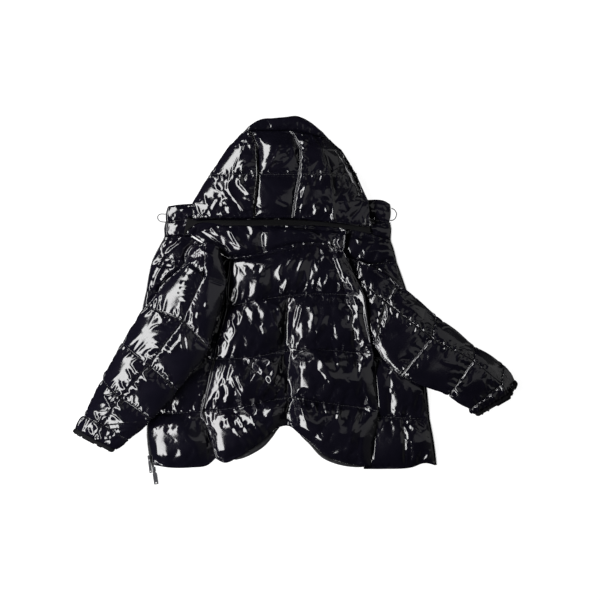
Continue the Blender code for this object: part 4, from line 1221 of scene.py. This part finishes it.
SHEETS = {sheet.node: sheet for sheet in
          [panel_sheet(panel) for panel in PANELS] + [tube_sheet(tube) for tube in TUBES]}
simulate(list(SHEETS.values()))
STITCH = stitch_unit()
for number, (node, sheet) in enumerate(SHEETS.items()):
    sheet.points = kept_in(sheet)
    seams = np.zeros(2 * len(sheet.seams) - 1)
    seams[::2] = sheet.seams
    sides = [np.interp(np.arange(len(seams)) / 2, np.arange(len(side)), side)
             for side in sheet.sides]
    outer = layered(puckered(finer(sheet.points), sheet, seams, sides, 100 * number), sheet)
    body = closed(f"{node}_cloth", outer, finer(sheet.lining), (SHELL, LINING))
    fit(body, "shell", node)
    frames = stitching(outer, seams)
    if frames:
        fit(repeated(f"{node}_stitching", STITCH, frames, THREAD), "shell")

# ---------------------------------------------------------------- cuffs

BINDING = matte_weave("black ribbed binding", (0.0015, 0.0015, 0.002), (0.005, 0.005, 0.006),
                      0.7 * MM, 0.85)
# Across the binding: how far out from the sleeve, and how far in from its face, as shares.
BINDING_PROFILE = (
    (0.0, 0.0), (0.1, -0.3), (0.35, -0.45), (0.65, -0.4), (0.88, -0.2), (1.0, 0.25),
    (1.0, 0.65), (0.88, 0.95), (0.5, 1.0), (0.0, 1.0),
)
RIBBED = range(1, 8)    # points of that profile which the ribs raise


def ring_of(grids, row):
    """The points round a sleeve at one row of its two halves."""
    outer, inner = grids
    return np.concatenate([outer[row], inner[row][-2:0:-1]])


for side in ("left", "right"):
    sheets = [SHEETS[f"sleeve_{side}_{half}"] for half in ("outer", "inner")]
    cloth = [sheet.start for sheet in sheets]
    mouth = ring_of(cloth, -1)
    run = unit((mouth - ring_of(cloth, -3)).mean(axis=0) * (1, 1, 0))
    inward = unit(ring_of([sheet.lining for sheet in sheets], -1) - mouth)
    mouth, inward = (np.concatenate([ring, ring[:1]]) for ring in (mouth, inward))
    length = run_of(mouth)
    at = np.linspace(0, length[-1], RIB_POINTS * RIBS + 1)[:-1]
    mouth, inward = (laid_out(ring, length, at) for ring in (mouth, inward))
    ribs = RIB_HEIGHT * np.cos(np.arange(len(at)) * 2 * math.pi / RIB_POINTS)[:, None]
    lower = (0.6 - mouth[:, 2:] / mouth[:, 2].max()).clip(0, 1)
    points, cloth_map = [], []
    for n, (out, depth) in enumerate(BINDING_PROFILE):
        face = STRIP_GAP + out * (CUFF_WIDTH - STRIP_GAP + CUFF_SLANT * lower)
        layer = mouth + run * face + inward * (depth * CUFF_WALL)
        if n in RIBBED:
            layer += inward * ribs
        layer[:, 2] = np.maximum(layer[:, 2], 0.0)
        points.append(layer)
        cloth_map.append(np.stack([at, np.full(len(at), BINDING_STEP * n)], axis=1))
    binding = mesh_piece(f"cuff_{side}_binding", np.concatenate(points) * MM,
                         faces_of(len(points), len(at), True, True), [BINDING],
                         np.concatenate(cloth_map) * MM)
    fit(binding, "cuff", f"cuff_{side}")

# ---------------------------------------------------------------- flap, facings, tapes, teeth

def strip(name, near, far, thick, finish, rows, solid=None, wave=0.0, seed=0):
    """A thin strip of cloth between two lines that have as many points each, in mm. It lies on
    the floor, or as high as the underside of its solid."""
    shares = np.linspace(0, 1, rows + 1)[:, None, None]
    plan = near * (1 - shares) + far * shares
    low = smoothed(solid.over(plan, False), False, 1) if solid else np.zeros(plan.shape[:2])
    edge = np.minimum(1.0, np.minimum(shares, 1 - shares)[:, :, 0] * rows / 1.5 + 0.35)
    top = low + thick * edge
    if wave:
        top = top + wave * (1 + crumple(reach(plan, 1) / 14, reach(plan, 0) / 30, seed)) * edge
    grid = np.concatenate([np.dstack([plan, top]), np.dstack([plan, low])[::-1]])
    count, columns = grid.shape[:2]
    faces = faces_of(count, columns, closed_down=True)
    faces.append(tuple(i * columns for i in range(count)))
    faces.append(tuple(i * columns + columns - 1 for i in range(count))[::-1])
    cloth_map = np.dstack([reach(grid, 1), reach(grid, 0)]).reshape(-1, 2) * MM
    return mesh_piece(name, grid.reshape(-1, 3) * MM, faces, [finish], cloth_map)


def beside(line, turn):
    """Level unit vectors to the left of a line as it runs, or to its right where turn is -1."""
    run = unit(np.gradient(line, axis=0))
    return np.stack([-run[:, 1], run[:, 0]], axis=1) * turn


MATTE = matte_weave("matte black strip", (0.0012, 0.0012, 0.0015), (0.0045, 0.0045, 0.005),
                    0.9 * MM, 0.8)
TAPE = matte_weave("black zip tape", (0.012, 0.012, 0.013), (0.035, 0.035, 0.037), 0.7 * MM, 0.8)

edges = (along(edge, np.linspace(0, 1, FLAP_POINTS)) for edge in FLAP)
flap = strip("hood_zip_flap_tape", *edges, FLAP_THICK, MATTE, FLAP_ROWS,
             SOLIDS["hood_zip_flap"], wave=0.3, seed=5)
fit(flap, "flap", "hood_zip_flap")

hem = SHEETS["back"].start[-1, :, :2]
for side, (start, end, width) in FACINGS.items():
    near = hem[(hem[:, 0] > start) & (hem[:, 0] < end)]
    near = along(near, np.linspace(0, 1, FACING_POINTS))
    out = beside(near, -1)
    widths = 0.6 + width * np.sin(np.linspace(0, math.pi, len(near)))[:, None] ** 0.7
    facing = strip(f"hem_facing_{side}_cloth", near + out * STRIP_GAP,
                   near + out * (STRIP_GAP + widths), FACING_THICK, LINING, STRIP_ROWS,
                   wave=0.5, seed=9)
    fit(facing, "shell", f"hem_facing_{side}")

TOOTH = tooth_unit()
PLASTIC = moulded("black moulded teeth")
# How the tape goes on past the last of the zip's edge.
TAIL = {"left": [(4.0, -22.0)], "right": []}
# How far the puffed cloth hangs over the tape's edge, at heights up the front.
TAPE_UNDER = {"left": ((-420, -330), (0.0, 5.0)), "right": ((-240, -180), (3.0, 4.5))}
foot = int(np.flatnonzero(SHEETS["collar"].seams)[1])
for side, column, turn in (("left", 0, -1), ("right", -1, 1)):
    collar = SHEETS["collar"].start
    front = SHEETS[f"front_{side}"].start
    edge = np.concatenate([collar[foot:-2, column, :2], front[2:, column, :2]])
    if TAIL[side]:
        edge = np.concatenate([edge, edge[-1:] + TAIL[side]])
    edge = along(edge, np.linspace(0, 1, TAPE_POINTS))
    out = beside(edge, turn)
    edge = edge - out * np.interp(edge[:, 1], *TAPE_UNDER[side])[:, None]
    tape = strip(f"zip_tape_{side}_weave", edge + out * STRIP_GAP,
                 edge + out * (STRIP_GAP + TAPE_WIDTH), TAPE_THICK, TAPE, STRIP_ROWS)
    fit(tape, "tape", f"zip_tape_{side}")
    middle = np.full((len(edge), 1), TAPE_THICK + TOOTH_LIFT)
    line = np.hstack([edge + out * (TAPE_WIDTH - TOOTH_INSET), middle])
    frames = []
    for spot, (run_x, run_y, _) in zip(*spots_along(line, TOOTH_PITCH)):
        x = unit(np.array([-run_y, run_x, 0.0]) * turn)
        frames.append(((x, np.cross((0, 0, 1), x), (0, 0, 1)), spot))
    fit(repeated(f"zip_teeth_{side}", TOOTH, frames, PLASTIC), "slider")

for pattern in (STITCH, TOOTH):
    bpy.data.objects.remove(pattern, do_unlink=True)

METAL = hardware("dark plated zinc")
for node in ("zip_slider_upper", "zip_slider_lower", "zip_pull_upper", "zip_pull_lower"):
    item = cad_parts[node]
    for number in range(len(item.material_slots)):
        item.material_slots[number].material = METAL

# ---------------------------------------------------------------- light and floor

def softbox(name, at, size, power, towards=(0, 0, 0)):
    """A rectangular light at a place, aimed at another, that the camera doesn't see. Metres."""
    light = bpy.data.lights.new(name, "AREA")
    light.shape = "RECTANGLE"
    light.size, light.size_y = size
    light.energy = power
    item = placed(name, light)
    item.location = at
    aim = Vector(towards) - Vector(at)
    item.rotation_euler = aim.to_track_quat("-Z", "Z" if at[2] < 1 else "Y").to_euler()
    item.visible_camera = False


softbox("key", (-1.2, 0.0, 1.2), (4.2, 0.58), 130)
softbox("card", (1.15, 0.0, 0.675), (2.8, 0.743), 3.07, (0.408, 0.0, 0.0))
softbox("side", (1.35, 1.0, 0.34), (2.4, 0.66), 2.3, (0.5, 0.05, 0.0))

world = bpy.data.worlds.new("studio")
bpy.context.scene.world = world
world.use_nodes = True
sky = Nodes(world.node_tree)
shade = sky.node("MapRange", {"interpolation_type": "SMOOTHSTEP"}, {
    "Value": sky.part(sky.node("TexCoord", {}, {}, "Generated"), "X"),
    "From Min": 0.3, "From Max": 0.9, "To Min": 0.01, "To Max": 0.12})
background = sky.tree.nodes["Background"]
sky.link(background.inputs["Strength"], shade)
sky.link(background.inputs["Color"], (1, 1, 1, 1))

floor = only("plane", "floor", size=30, location=(0, 0, -0.001))
settle()
pale = Finish("pale floor", Base_Color=(0.14, 0.14, 0.14, 1), Roughness=1.0,
              Emission_Color=(1, 1, 1, 1), Emission_Strength=0.95)
floor.data.materials.append(pale.material)
floor.visible_glossy = False
bpy.context.scene.view_settings.view_transform = "Standard"
